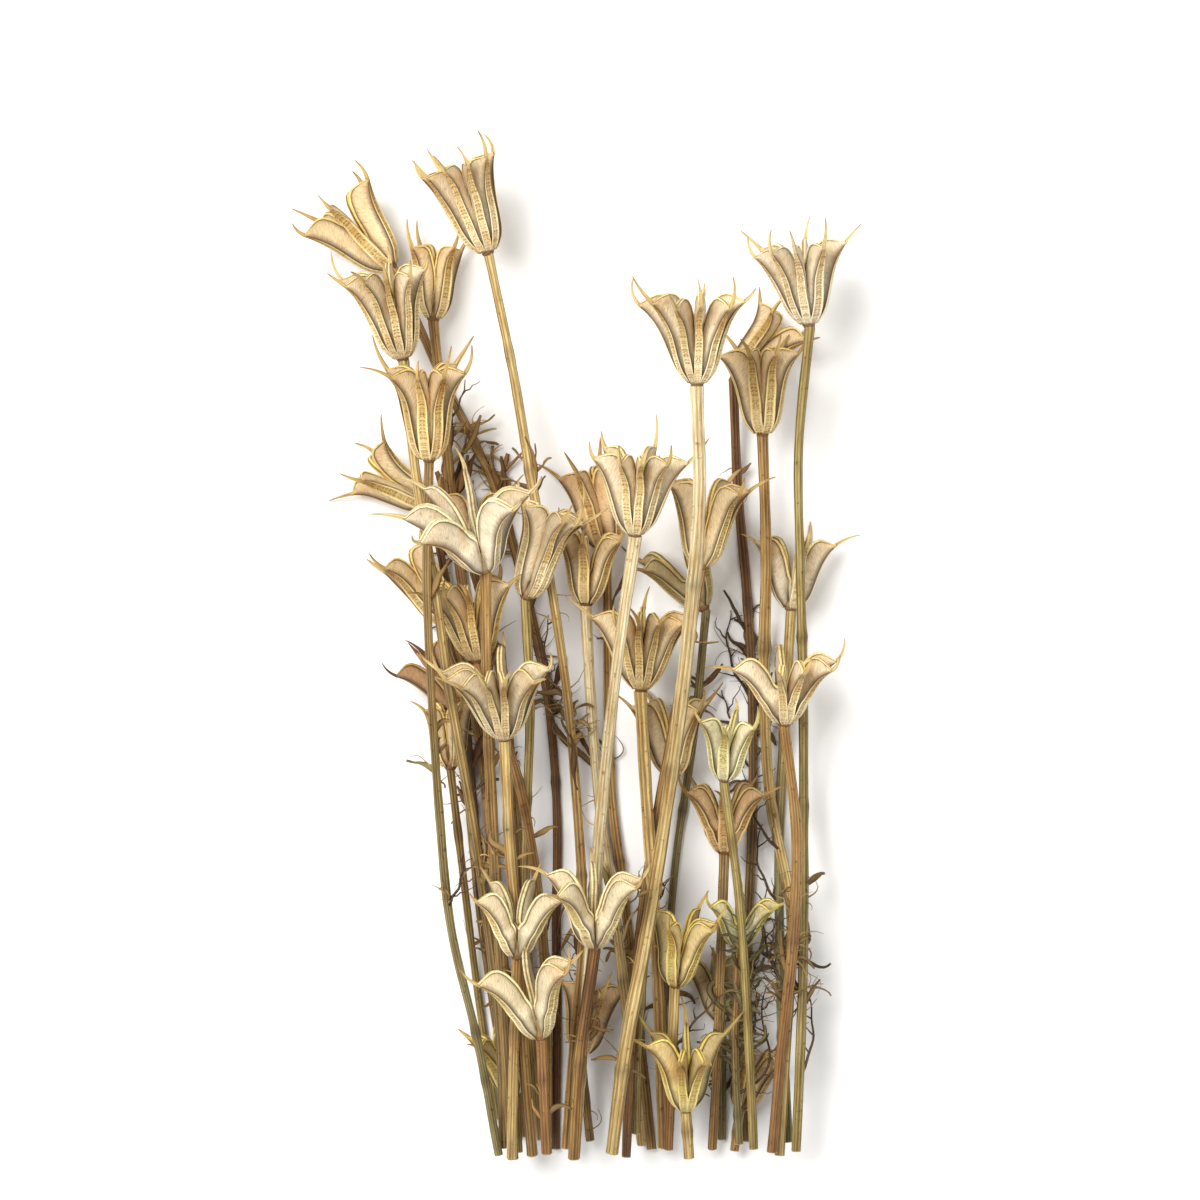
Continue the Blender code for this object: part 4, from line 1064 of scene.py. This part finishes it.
def dress_stem(stem, centre, axis, threads, name, node, material, move):
    rng = random.Random(9000 + stem.number)
    skin = Skin(-move[2])
    line = smooth_way(centre, 2.4)
    near_cut = line[0] + CUT_EDGE * (line[1] - line[0]) / np.linalg.norm(line[1] - line[0])
    line = np.vstack([line[:1], near_cut, line[1:], centre[-1] + axis * 0.7])
    ahead, side, up = tube_frames(line)
    count = len(line)
    around = 30
    half = stem.girth / 2
    run = np.concatenate([[0], np.cumsum(np.linalg.norm(np.diff(line, axis=0), axis=1))])
    angles = np.linspace(-math.pi / 2, 1.5 * math.pi, around, endpoint=False)
    ribs = rng.choice([8, 9, 10, 11])
    phase = rng.uniform(0, 6.28)
    swell = 1 + 0.05 * np.sin(run * 0.07 + phase) + 0.03 * np.sin(run * 0.31 + 2 * phase)
    from_top = run[-1] - run
    swell = swell + 0.10 * np.exp(-from_top / 3.0)
    at_head, at_cut = STEM_LOOK.get(stem.number, (stem.tint, stem.tint))
    fade = np.clip((run / run[-1] - 0.25 - 0.2 * rng.random()) / 0.5, 0, 1)[:, None]
    light, dark = (
        linear(*STEM_COLOURS[at_head][k]) * fade + linear(*STEM_COLOURS[at_cut][k]) * (1 - fade)
        for k in (0, 1))
    knots = [rng.uniform(0.1, 0.9) * run[-1] for _ in range(max(1, int(run[-1] / 60)))]
    knot = sum(np.exp(-((run - k) / 1.6) ** 2) for k in knots)
    places = np.zeros((count, around, 3))
    colour = np.zeros((count, around, 3))
    pattern = np.zeros((count, around, 3))
    for i, angle in enumerate(angles):
        twist = 0.25 * np.sin(run * 0.012 + phase) * ribs
        wave = np.cos(ribs * angle + phase + twist) + 0.5 * np.cos(3 * angle + 2 * phase + twist)
        wave = np.clip(wave, -1, 1)
        rib = 0.075 * wave + 0.04 * math.cos(3 * angle + 2 * phase)
        radius = half * (0.97 * swell * (1 + rib) + 0.22 * knot)
        places[:, i] = line + side * (radius * math.cos(angle))[:, None] + up * (
            radius * math.sin(angle))[:, None]
        # ridges take the light colour and grooves the dark one: the stem's own stripes, partly painted
        # shade in the grooves
        share = (0.5 + 0.5 * wave)[:, None]
        colour[:, i] = dark * (1 - share) + light * share
        pattern[:, i, 0] = run + phase * 10
        pattern[:, i, 1] = angle * half
        pattern[:, i, 2] = 0
    aging = np.interp(run, [0, run[-1] * 0.5, run[-1]], [0.86, 0.98, 1.1])
    aging = aging * (1 - 0.45 * np.clip(knot, 0, 1))
    colour *= aging[:, None, None]
    colour[0] = linear(224, 200, 150)
    skin.add(places, pattern, colour)
    for rings in threads:
        add_thread(skin, rings.mean(axis=1), rng)
    for number, spot, heading, length, wide, tint in LEAVES:
        if number == stem.number:
            add_leaf(skin, centre, spot, heading, length, wide, tint, rng)
    for number, spot, count, reach, tone in TUFTS:
        if number == stem.number:
            tones = OLIVE_THREADS.get(number, (THREAD, CURL))
            add_tuft(skin, centre, spot, count, reach, tone, tones, rng)
    piece = skin.make(name, material, move)
    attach(piece, "root")
    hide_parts(node)
    return piece


def add_thread(skin, way, rng, thick=0.42, branch=True):
    """A dead leaf as fine as a thread, with finer side threads."""
    line = smooth_way(way, 1.2)
    if len(line) < 3:
        return
    ahead, side, up = tube_frames(line)
    count = len(line)
    around = 6
    share = np.linspace(0, 1, count)
    radius = thick * (1 - 0.7 * share)
    wave = 0.25 * np.sin(share * 17 + rng.uniform(0, 6))
    line = line + side * wave[:, None] * np.clip(share * 6, 0, 1)[:, None]
    angles = np.linspace(0, 2 * math.pi, around, endpoint=False)
    places = np.zeros((count, around, 3))
    for i, angle in enumerate(angles):
        places[:, i] = line + (side * math.cos(angle) + up * math.sin(angle)) * radius[:, None]
    colour = np.ones((count, around, 3)) * linear(*THREAD) * rng.uniform(0.7, 1.5)
    pattern = np.zeros((count, around, 3))
    pattern[:, :, 0] = share[:, None] * 20
    skin.add(places, pattern, colour)
    if not branch:
        return
    for k in range(2, count - 2, max(3, count // 5)):
        turn = rng.choice([-1, 1])
        reach = rng.uniform(4, 9)
        heading = ahead[k] * rng.uniform(0.4, 0.9) + side[k] * turn * rng.uniform(0.5, 0.9)
        heading[2] = rng.uniform(0.05, 0.3)
        curl = side[k] * turn * rng.uniform(-0.6, 0.2)
        way = [line[k], line[k] + heading * reach * 0.5,
               line[k] + heading * reach * 0.8 + curl * reach * 0.5]
        add_thread(skin, np.array(way), rng, thick * 0.55, False)


# Tufts of dead leaf threads: number of the stem, picture point, how many, reach in mm, tone
TUFTS = [
    (24, (735, 655), 12, 13, 0.6), (24, (742, 700), 10, 11, 0.6), (26, (760, 705), 5, 8, 1.2),
    (27, (779, 960), 12, 14, 0.7), (38, (742, 1000), 12, 15, 0.9), (38, (738, 1060), 10, 14, 1.0),
    (28, (787, 985), 8, 13, 0.8), (26, (785, 1010), 10, 14, 0.9), (39, (722, 1095), 7, 11, 0.9),
    (13, (512, 850), 5, 9, 1.2), (12, (528, 830), 4, 9, 1.0), (16, (606, 815), 5, 8, 1.2),
    (1, (563, 700), 6, 10, 0.9), (1, (555, 610), 4, 8, 1.3), (4, (446, 440), 9, 11, 1.2),
    (2, (470, 440), 8, 12, 1.7), (19, (648, 895), 6, 9, 1.1), (18, (592, 930), 4, 8, 1.3),
    (16, (612, 910), 5, 9, 1.0), (19, (690, 640), 5, 9, 1.2), (20, (700, 700), 6, 8, 0.8),
    (24, (752, 790), 8, 10, 0.6), (5, (447, 905), 5, 6, 1.4), (6, (458, 700), 4, 8, 1.2),
    (9, (512, 770), 6, 9, 0.8), (11, (490, 850), 5, 9, 0.9), (14, (480, 870), 5, 8, 0.8),
    (8, (494, 860), 4, 7, 1.4), (3, (488, 920), 5, 8, 1.3), (12, (545, 960), 5, 9, 1.2),
    (21, (655, 940), 4, 8, 1.3), (22, (640, 960), 3, 6, 1.5), (23, (803, 900), 4, 8, 1.1),
    (23, (800, 1000), 6, 10, 0.9), (28, (793, 900), 4, 7, 1.2), (17, (609, 760), 6, 9, 0.8),
    (10, (528, 700), 4, 7, 1.3), (32, (583, 1030), 6, 9, 0.9), (36, (588, 1120), 4, 8, 0.9),
    (34, (546, 1110), 4, 7, 1.2), (37, (674, 1060), 5, 8, 1.2), (31, (719, 960), 4, 8, 1.1),
    (30, (742, 920), 5, 8, 1.0), (29, (650, 900), 3, 7, 1.1), (15, (470, 940), 4, 8, 1.1),
    (2, (468, 470), 9, 10, 1.5), (1, (516, 480), 7, 9, 1.0), (2, (524, 560), 6, 9, 1.5),
    (2, (556, 700), 8, 11, 0.9), (1, (566, 740), 7, 8, 1.0), (3, (484, 870), 6, 11, 1.3),
    (5, (430, 770), 5, 7, 1.0), (6, (465, 805), 4, 6, 1.1), (17, (604, 640), 5, 8, 0.8),
    (1, (584, 960), 9, 9, 0.8), (1, (578, 975), 6, 8, 0.9), (16, (620, 900), 8, 9, 1.2),
    (16, (612, 950), 8, 10, 1.1), (20, (680, 1000), 9, 9, 0.9), (31, (700, 1040), 6, 9, 1.0),
    (24, (750, 940), 10, 10, 0.8), (24, (755, 1030), 12, 11, 0.8), (30, (748, 980), 10, 11, 0.9),
    (28, (800, 950), 8, 10, 1.1), (26, (797, 890), 6, 6, 1.2), (13, (520, 965), 6, 7, 1.4),
    (24, (745, 740), 9, 10, 0.7), (24, (738, 680), 8, 9, 0.6), (27, (764, 960), 12, 10, 0.7),
    (24, (748, 985), 10, 9, 1.0), (38, (742, 1040), 10, 10, 0.9), (30, (744, 1010), 10, 9, 1.1),
    (2, (497, 470), 8, 9, 1.5), (2, (500, 500), 8, 9, 1.4), (9, (500, 640), 6, 8, 1.1),
    (1, (560, 720), 8, 8, 1.1), (2, (548, 700), 6, 8, 0.9), (20, (712, 700), 6, 7, 1.0),
    (22, (606, 1060), 8, 8, 0.9), (29, (640, 1040), 5, 7, 1.1), (37, (690, 1080), 6, 7, 1.0),
    (4, (455, 560), 9, 11, 1.0), (4, (462, 620), 8, 10, 0.9), (4, (470, 700), 8, 10, 1.0),
    (4, (470, 640), 8, 10, 1.1), (11, (478, 740), 8, 9, 1.0), (14, (480, 800), 8, 10, 0.9),
    (2, (500, 560), 8, 9, 1.5), (2, (540, 650), 7, 9, 1.0), (3, (455, 720), 7, 9, 1.1),
    (27, (770, 985), 12, 9, 0.8), (24, (760, 1010), 12, 9, 0.9), (30, (752, 950), 10, 9, 0.7),
    (23, (806, 960), 8, 8, 0.9), (38, (735, 1060), 8, 9, 0.9), (11, (470, 690), 6, 8, 0.9),
    (6, (440, 640), 5, 8, 1.0), (24, (700, 480), 5, 7, 0.9), (22, (664, 900), 5, 5, 1.4),
    (11, (500, 1000), 6, 9, 1.0), (18, (590, 1040), 6, 9, 0.8)]


# Shrivelled leaves: number of the stem, picture point of the foot, heading in degrees from the
# top of the picture to the right, length and width in mm, colour
LEAVES = [
    (4, (457, 470), 20, 16, 1.8, "TAN"), (4, (470, 500), 0, 18, 2.0, "BROWN"),
    (2, (485, 480), -15, 14, 1.8, "TAN"), (2, (500, 520), 10, 16, 2.2, "BROWN"),
    (2, (512, 490), 25, 12, 1.4, "RUST"), (1, (522, 492), 5, 14, 1.2, "TAN"),
    (2, (505, 600), -30, 10, 1.6, "DARK"), (2, (545, 690), 150, 20, 2.2, "BROWN"),
    (2, (552, 715), 162, 22, 1.8, "UMBER"), (1, (562, 735), 172, 14, 1.6, "BROWN"),
    (5, (436, 772), -60, 8, 2.0, "MOSS"), (3, (483, 885), -8, 14, 1.4, "STRAW"),
    (3, (487, 892), 3, 12, 1.2, "STRAW"), (14, (475, 812), -50, 8, 1.4, "BROWN"),
    (1, (583, 955), 10, 11, 2.0, "DARK"), (1, (575, 965), -12, 10, 1.8, "BROWN"),
    (12, (546, 962), 4, 17, 1.2, "RUST"), (2, (552, 962), 10, 16, 1.2, "RUST"),
    (2, (556, 965), 16, 14, 1.2, "TAN"), (13, (515, 965), -35, 7, 1.6, "STRAW"),
    (13, (519, 975), 30, 8, 1.6, "STRAW"), (16, (612, 900), -20, 12, 1.6, "OLIVE"),
    (16, (618, 950), 12, 14, 1.4, "STRAW"), (20, (672, 1012), -15, 12, 2.0, "BROWN"),
    (20, (684, 1015), 10, 12, 1.8, "DARK"), (26, (800, 895), 40, 7, 1.2, "RUST"),
    (24, (737, 640), -20, 14, 1.4, "DARK"), (24, (742, 690), 5, 18, 1.6, "DARK"),
    (24, (748, 720), 22, 12, 1.6, "DARK"), (24, (752, 765), 35, 12, 1.4, "BROWN"),
    (20, (700, 690), 40, 9, 1.6, "BROWN"), (20, (706, 760), -35, 8, 1.6, "BROWN"),
    (11, (470, 700), -25, 14, 2.0, "BROWN"), (11, (482, 780), 15, 12, 1.8, "UMBER"),
    (6, (455, 660), -10, 14, 1.8, "BROWN"), (17, (604, 620), 12, 14, 1.6, "BROWN"),
    (30, (745, 1000), -20, 12, 1.4, "MOSS"), (24, (756, 975), 20, 13, 1.4, "UMBER"),
    (24, (762, 1040), 10, 12, 1.4, "MOSS"), (28, (795, 985), -15, 14, 1.2, "UMBER"),
    (4, (450, 450), 12, 13, 3.4, "RUST"), (4, (462, 480), -18, 12, 3.6, "TAN"),
    (4, (466, 500), 24, 13, 3.0, "BROWN"), (4, (462, 455), -8, 14, 3.2, "TAN"),
    (4, (470, 500), 14, 12, 3.0, "RUST"), (4, (455, 520), -24, 13, 3.4, "TAN"),
    (2, (482, 500), 18, 12, 3.0, "RUST"), (2, (490, 505), -6, 15, 2.4, "TAN"),
    (5, (432, 600), 14, 12, 3.0, "TAN"), (2, (524, 610), 10, 12, 2.8, "RUST"),
    (11, (470, 700), 16, 13, 3.2, "BROWN"), (11, (478, 730), -10, 12, 2.8, "RUST"),
    (8, (490, 690), 20, 12, 2.6, "BROWN"), (6, (466, 740), -20, 12, 3.2, "RUST"),
    (14, (470, 770), 10, 12, 2.6, "BROWN"), (6, (458, 790), -12, 10, 2.4, "RUST"),
    (2, (548, 700), 24, 12, 2.8, "DARK"), (10, (520, 720), -14, 13, 2.6, "BROWN")]


def add_leaf(skin, centre, spot, heading, length, wide, tint, rng):
    """One shrivelled leaf that stands off a stem."""
    row = from_picture(spot, centre[:, 2].mean())[1]
    at = np.clip(row, centre[0, 1] + 1, centre[-1, 1] - 1)
    place = np.array([np.interp(at, centre[:, 1], centre[:, k]) for k in range(3)])
    turn = math.radians(heading)
    steps = max(8, int(length / 0.8))
    rise = rng.uniform(0.1, 0.35)
    way = [place]
    for _ in range(steps):
        turn += rng.uniform(-0.16, 0.16)
        rise = 0.92 * rise + rng.uniform(-0.08, 0.08)
        ahead = np.array([math.sin(turn), math.cos(turn), rise])
        after = way[-1] + ahead * length / steps
        after[2] = max(after[2], 1.0)
        way.append(after)
    light, dark = (linear(*c) for c in STEM_COLOURS[tint])
    share = rng.uniform(0.3, 0.9)
    add_ribbon(skin, np.array(way), wide, light * share + dark * (1 - share), rng)


def add_tuft(skin, centre, spot, count, reach, tone, tones, rng):
    """Dead threads that curl away from one place of a stem."""
    row = from_picture(spot, centre[:, 2].mean())[1]
    for _ in range(count):
        at = np.clip(row + rng.uniform(-3.5, 3.5), centre[0, 1] + 1, centre[-1, 1] - 1)
        place = np.array([np.interp(at, centre[:, 1], centre[:, k]) for k in range(3)])
        heading = rng.choice([-1, 1]) * rng.uniform(0.3, 1.2)
        rise = rng.uniform(-0.25, 0.35)
        bend = rng.uniform(-0.5, 0.5)
        length = reach * rng.uniform(0.4, 1.1)
        steps = max(6, int(length / 0.9))
        way = [place]
        for k in range(steps):
            bend = 0.75 * bend + rng.uniform(-0.3, 0.3)
            heading += bend
            rise = rise * 0.8 + rng.uniform(-0.12, 0.10)
            ahead = np.array([math.sin(heading), math.cos(heading), rise])
            after = way[-1] + ahead * length / steps
            after[2] = max(after[2], 0.6)
            way.append(after)
        colour = linear(*tones[0]) * (1.4 - tone) + linear(*tones[1]) * (tone - 0.4)
        colour = colour * rng.uniform(0.6, 1.35)
        if rng.random() < 0.45:
            add_ribbon(skin, np.array(way), rng.uniform(0.7, 1.8), colour, rng)
            continue
        thick = rng.uniform(0.12, 0.2) + 0.14 * tone * rng.random()
        add_hair(skin, np.array(way), thick, colour, rng)


def add_ribbon(skin, line, wide, colour, rng):
    """A shrivelled strip of dead leaf: a thin flat band that twists and tapers."""
    ahead, side, up = tube_frames(line)
    count = len(line)
    share = np.linspace(0, 1, count)
    half = 0.5 * wide * (0.35 + 0.65 * np.sin(np.pi * np.clip(share * 0.9 + 0.12, 0, 1)))
    turn = rng.uniform(0, 3.1) + share * rng.uniform(-4.0, 4.0)
    flat = side * np.cos(turn)[:, None] + up * np.sin(turn)[:, None]
    edge = np.cross(ahead, flat)
    bow = 0.18 * wide
    section = [(-1, bow), (-0.5, 0.1), (0, 0.0), (0.5, 0.1), (1, bow),
               (0.5, 0.1 - 0.16), (0, -0.2), (-0.5, 0.1 - 0.16)]
    places = np.zeros((count, len(section), 3))
    shade = np.zeros((count, len(section), 3))
    for i, (across, rise) in enumerate(section):
        places[:, i] = line + flat * (half * across)[:, None] + edge * rise
        shade[:, i] = colour * (0.6 if abs(across) == 1 else 1.0)
    places[:, :, 2] = np.maximum(places[:, :, 2], 0.15)
    pattern = np.zeros((count, len(section), 3))
    pattern[:, :, 0] = share[:, None] * 12 + rng.uniform(0, 20)
    pattern[:, :, 1] = np.array([s[0] for s in section])[None, :] * wide
    skin.add(places, pattern, shade)


def add_hair(skin, line, thick, colour, rng):
    """A thin five-sided tapering tube."""
    ahead, side, up = tube_frames(line)
    count = len(line)
    share = np.linspace(0, 1, count)
    radius = thick * (1 - 0.75 * share)
    angles = np.linspace(0, 2 * math.pi, 5, endpoint=False)
    places = np.zeros((count, 5, 3))
    for i, angle in enumerate(angles):
        places[:, i] = line + (side * math.cos(angle) + up * math.sin(angle)) * radius[:, None]
    shade = np.ones((count, 5, 3)) * colour
    pattern = np.zeros((count, 5, 3))
    pattern[:, :, 0] = share[:, None] * 10 + rng.uniform(0, 20)
    skin.add(places, pattern, shade)


def node_material(name):
    material = bpy.data.materials.new(name)
    material.use_nodes = True
    tree = material.node_tree
    surface = tree.nodes["Principled BSDF"]
    return material, tree, surface


def put(tree, kind, **values):
    node = tree.nodes.new(kind)
    for key, value in values.items():
        setattr(node, key, value)
    return node


def maths(tree, operation, first, second=None):
    node = put(tree, "ShaderNodeMath", operation=operation)
    for slot_index, value in enumerate((first, second)):
        if value is None:
            continue
        if isinstance(value, (int, float)):
            node.inputs[slot_index].default_value = value
        else:
            tree.links.new(value, node.inputs[slot_index])
    return node.outputs[0]


def blend_colour(tree, kind, factor, first, second):
    node = put(tree, "ShaderNodeMix", data_type="RGBA", blend_type=kind)
    for socket, value in ((node.inputs[0], factor), (node.inputs[6], first), (node.inputs[7], second)):
        if isinstance(value, (int, float)):
            socket.default_value = value
        elif isinstance(value, (tuple, list, np.ndarray)):
            socket.default_value = (value[0], value[1], value[2], 1.0)
        else:
            tree.links.new(value, socket)
    return node.outputs[2]


def noise(tree, vector, scale, detail=3.0, rough=0.55, stretch=(1, 1, 1)):
    mapping = put(tree, "ShaderNodeMapping")
    mapping.inputs["Scale"].default_value = stretch
    tree.links.new(vector, mapping.inputs["Vector"])
    texture = put(tree, "ShaderNodeTexNoise")
    texture.inputs["Scale"].default_value = scale
    texture.inputs["Detail"].default_value = detail
    texture.inputs["Roughness"].default_value = rough
    tree.links.new(mapping.outputs[0], texture.inputs["Vector"])
    return texture.outputs["Fac"]


def remap(tree, value, low, high, to_low, to_high):
    node = put(tree, "ShaderNodeMapRange")
    node.inputs["From Min"].default_value = low
    node.inputs["From Max"].default_value = high
    node.inputs["To Min"].default_value = to_low
    node.inputs["To Max"].default_value = to_high
    tree.links.new(value, node.inputs["Value"])
    return node.outputs[0]


def pod_material(name):
    """Dry papery pod: colours from the form, rungs on the strip, cross veins on the walls."""
    material, tree, surface = node_material(name)
    shade = put(tree, "ShaderNodeAttribute", attribute_name="shade").outputs["Color"]
    pattern = put(tree, "ShaderNodeAttribute", attribute_name="pattern").outputs["Vector"]
    parts = put(tree, "ShaderNodeSeparateXYZ")
    tree.links.new(pattern, parts.inputs[0])
    run, around, deep = parts.outputs
    place = put(tree, "ShaderNodeTexCoord").outputs["Object"]
    # rungs across the middle of the back strip
    uneven = noise(tree, pattern, 0.7, 2.0)
    bent = maths(tree, "ADD", run, maths(tree, "MULTIPLY", uneven, 2.4))
    slanted = maths(tree, "ADD", bent, maths(tree, "MULTIPLY", around, 0.35))
    beat = maths(tree, "SINE", maths(tree, "MULTIPLY", slanted, 2 * math.pi / 0.8))
    rung = remap(tree, beat, -0.3, 0.5, 0.0, 1.0)
    on_strip = remap(tree, around, 0.75, 1.0, 1.0, 0.0)
    off_middle = remap(tree, around, 0.04, 0.2, 0.25, 1.0)
    off_beak = remap(tree, deep, -1.5, -0.5, 0.0, 1.0)
    broken = remap(tree, noise(tree, pattern, 1.1), 0.40, 0.56, 0.15, 1.0)
    rung = maths(tree, "MULTIPLY", maths(tree, "MULTIPLY", rung, on_strip), broken)
    rung = maths(tree, "MULTIPLY", maths(tree, "MULTIPLY", rung, off_beak), off_middle)
    colour = blend_colour(tree, "MULTIPLY", maths(tree, "MULTIPLY", rung, 0.95), shade,
                          (0.50, 0.36, 0.20))
    # fine veins across the walls
    rising = maths(tree, "ADD", maths(tree, "MULTIPLY", run, 0.8), maths(tree, "MULTIPLY", around, -0.5))
    along_vein = maths(tree, "ADD", maths(tree, "MULTIPLY", run, 0.5), around)
    slanting = put(tree, "ShaderNodeCombineXYZ")
    tree.links.new(rising, slanting.inputs[0])
    tree.links.new(along_vein, slanting.inputs[1])
    veins = noise(tree, slanting.outputs[0], 3.1, 3.0, 0.6, (1.5, 0.16, 1))
    vein_tone = remap(tree, veins, 0.36, 0.62, 0.70, 1.16)
    on_wall = remap(tree, deep, 0.02, 0.10, 0.0, 1.0)
    grey = put(tree, "ShaderNodeCombineColor")
    for socket in grey.inputs:
        tree.links.new(vein_tone, socket)
    colour = blend_colour(tree, "MULTIPLY", maths(tree, "MULTIPLY", on_wall, 0.8), colour,
                          grey.outputs[0])
    # soft blotches, warmer and browner
    blotch = remap(tree, noise(tree, place, 150.0, 4.0, 0.6), 0.48, 0.68, 0.0, 0.7)
    colour = blend_colour(tree, "MULTIPLY", blotch, colour, (0.84, 0.67, 0.46))
    fleck = remap(tree, noise(tree, place, 900.0, 2.0), 0.62, 0.72, 0.0, 0.5)
    colour = blend_colour(tree, "MULTIPLY", fleck, colour, (0.55, 0.38, 0.20))
    tree.links.new(colour, surface.inputs["Base Color"])
    rough = remap(tree, veins, 0.3, 0.7, 0.46, 0.66)
    tree.links.new(rough, surface.inputs["Roughness"])
    surface.inputs["Specular IOR Level"].default_value = 0.35
    bump = put(tree, "ShaderNodeBump")
    bump.inputs["Strength"].default_value = 0.7
    bump.inputs["Distance"].default_value = 0.0003
    height = maths(tree, "ADD", maths(tree, "MULTIPLY", veins, 1.0),
                   maths(tree, "MULTIPLY", rung, -0.7))
    tree.links.new(height, bump.inputs["Height"])
    tree.links.new(bump.outputs[0], surface.inputs["Normal"])
    return material


def stem_material(name):
    """Dry ribbed stem: fibres that run lengthwise, with spots and grime."""
    material, tree, surface = node_material(name)
    shade = put(tree, "ShaderNodeAttribute", attribute_name="shade").outputs["Color"]
    pattern = put(tree, "ShaderNodeAttribute", attribute_name="pattern").outputs["Vector"]
    place = put(tree, "ShaderNodeTexCoord").outputs["Object"]
    fibres = noise(tree, pattern, 3.2, 4.0, 0.65, (0.04, 2.6, 1))
    tone = remap(tree, fibres, 0.37, 0.63, 0.44, 1.27)
    grey = put(tree, "ShaderNodeCombineColor")
    for socket in grey.inputs:
        tree.links.new(tone, socket)
    colour = blend_colour(tree, "MULTIPLY", 0.9, shade, grey.outputs[0])
    blotch = remap(tree, noise(tree, pattern, 0.35, 3.0, 0.6, (0.25, 1, 1)), 0.45, 0.7, 0.0, 0.75)
    colour = blend_colour(tree, "MULTIPLY", blotch, colour, (0.66, 0.50, 0.30))
    spots = remap(tree, noise(tree, place, 700.0, 2.0), 0.64, 0.72, 0.0, 0.7)
    colour = blend_colour(tree, "MULTIPLY", spots, colour, (0.35, 0.22, 0.12))
    tree.links.new(colour, surface.inputs["Base Color"])
    tree.links.new(remap(tree, fibres, 0.3, 0.7, 0.42, 0.66), surface.inputs["Roughness"])
    surface.inputs["Specular IOR Level"].default_value = 0.4
    bump = put(tree, "ShaderNodeBump")
    bump.inputs["Strength"].default_value = 0.8
    bump.inputs["Distance"].default_value = 0.0003
    tree.links.new(fibres, bump.inputs["Height"])
    tree.links.new(bump.outputs[0], surface.inputs["Normal"])
    return material


def box_shift(name, places):
    """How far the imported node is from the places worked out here, in mm."""
    low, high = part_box(name)
    middle = (np.array(low) + np.array(high)) / 2 / METRES_PER_MM
    return middle - (places.min(0) + places.max(0)) / 2


def main():
    for old in list(bpy.data.objects):
        bpy.data.objects.remove(old)
    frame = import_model()
    heads = {head.number: head for head in HEADS}
    stems = {stem.number: stem for stem in STEMS}
    pile = Pile()
    laid = []
    for number in LAYING_ORDER:
        laid.append((number, *lay_plant(pile, heads[number], stems[number])))
    number, axes, base, centre, threads = next(p for p in laid if p[0] == 10)
    tube = stem_rings(centre, stems[10].girth / 2, axes[:, 2]).reshape(-1, 3)
    move = box_shift("stem_10", tube)
    pod = pod_material("papery_pod")
    stalk = stem_material("dry_ribbed_stem")
    worst = 0.0
    for number, axes, base, centre, threads in laid:
        head, stem = heads[number], stems[number]
        label = f"{number:02d}"
        alone = stem.alone
        head_node = f"seed_head_{label}" if alone else f"stemmed_head_{label}"
        stem_node = f"stem_{label}" if alone else f"stemmed_head_{label}"
        if alone:
            places = np.vstack([(r @ axes.T + base).reshape(-1, 3) for r in head_lofts(head, stem)])
            worst = max(worst, np.abs(box_shift(head_node, places) - move).max())
        dress_head(head, axes, base, f"pods_{label}", head_node, pod, move)
        dress_stem(stem, centre, axes[:, 2], threads, f"stalk_{label}", stem_node, stalk,
                   move)
    if worst > 0.2:
        raise RuntimeError(f"the plants are laid {worst:.2f} mm away from the packed ones")
    set_stage(move)
    bpy.context.view_layer.update()


def area_light(name, place, target, size, power, colour):
    light = bpy.data.lights.new(name, "AREA")
    light.shape = "RECTANGLE"
    light.size = size[0]
    light.size_y = size[1]
    light.energy = power
    light.color = colour
    lamp = bpy.data.objects.new(name, light)
    bpy.context.scene.collection.objects.link(lamp)
    lamp.location = place
    direction = Vector(target) - Vector(place)
    lamp.rotation_euler = direction.to_track_quat("-Z", "Y").to_euler()
    return lamp


def set_stage(move):
    floor_mesh = bpy.data.meshes.new("floor")
    size = 3.0
    floor_mesh.from_pydata(
        [(-size, -size, 0), (size, -size, 0), (size, size, 0), (-size, size, 0)], [], [(0, 1, 2, 3)])
    floor = bpy.data.objects.new("floor", floor_mesh)
    bpy.context.scene.collection.objects.link(floor)
    floor.location.z = -0.0004
    material, tree, surface = node_material("pale_floor")
    surface.inputs["Base Color"].default_value = (0.93, 0.93, 0.93, 1)
    surface.inputs["Roughness"].default_value = 0.9
    floor_mesh.materials.append(material)
    world = bpy.data.worlds.new("studio")
    bpy.context.scene.world = world
    world.use_nodes = True
    world.node_tree.nodes["Background"].inputs[0].default_value = (1.0, 0.99, 0.97, 1)
    world.node_tree.nodes["Background"].inputs[1].default_value = 0.44
    area_light("key", (-0.42, 0.32, 1.1), (0, 0, 0.02), (0.6, 0.6), 18.0, (1.0, 0.99, 0.965))
    area_light("fill", (0.5, -0.3, 1.2), (0, 0, 0.02), (0.8, 0.8), 5.0, (1.0, 0.995, 0.98))
    camera = bpy.data.cameras.new("camera")
    eye = bpy.data.objects.new("camera", camera)
    bpy.context.scene.collection.objects.link(eye)
    shift = np.array(move) * METRES_PER_MM
    distance = EYE_MM[2] * METRES_PER_MM
    eye.location = (EYE_MM[0] * METRES_PER_MM + shift[0], EYE_MM[1] * METRES_PER_MM + shift[1],
                    distance)
    camera.sensor_width = 36.0
    frame_width = 1200 / PICTURE_PX_PER_MM * METRES_PER_MM
    camera.lens = camera.sensor_width * distance / frame_width
    camera.clip_start = 0.05
    camera.clip_end = 20.0
    bpy.context.scene.camera = eye
    bpy.context.scene.view_settings.view_transform = "Standard"
    bpy.context.scene.view_settings.look = "None"


main()
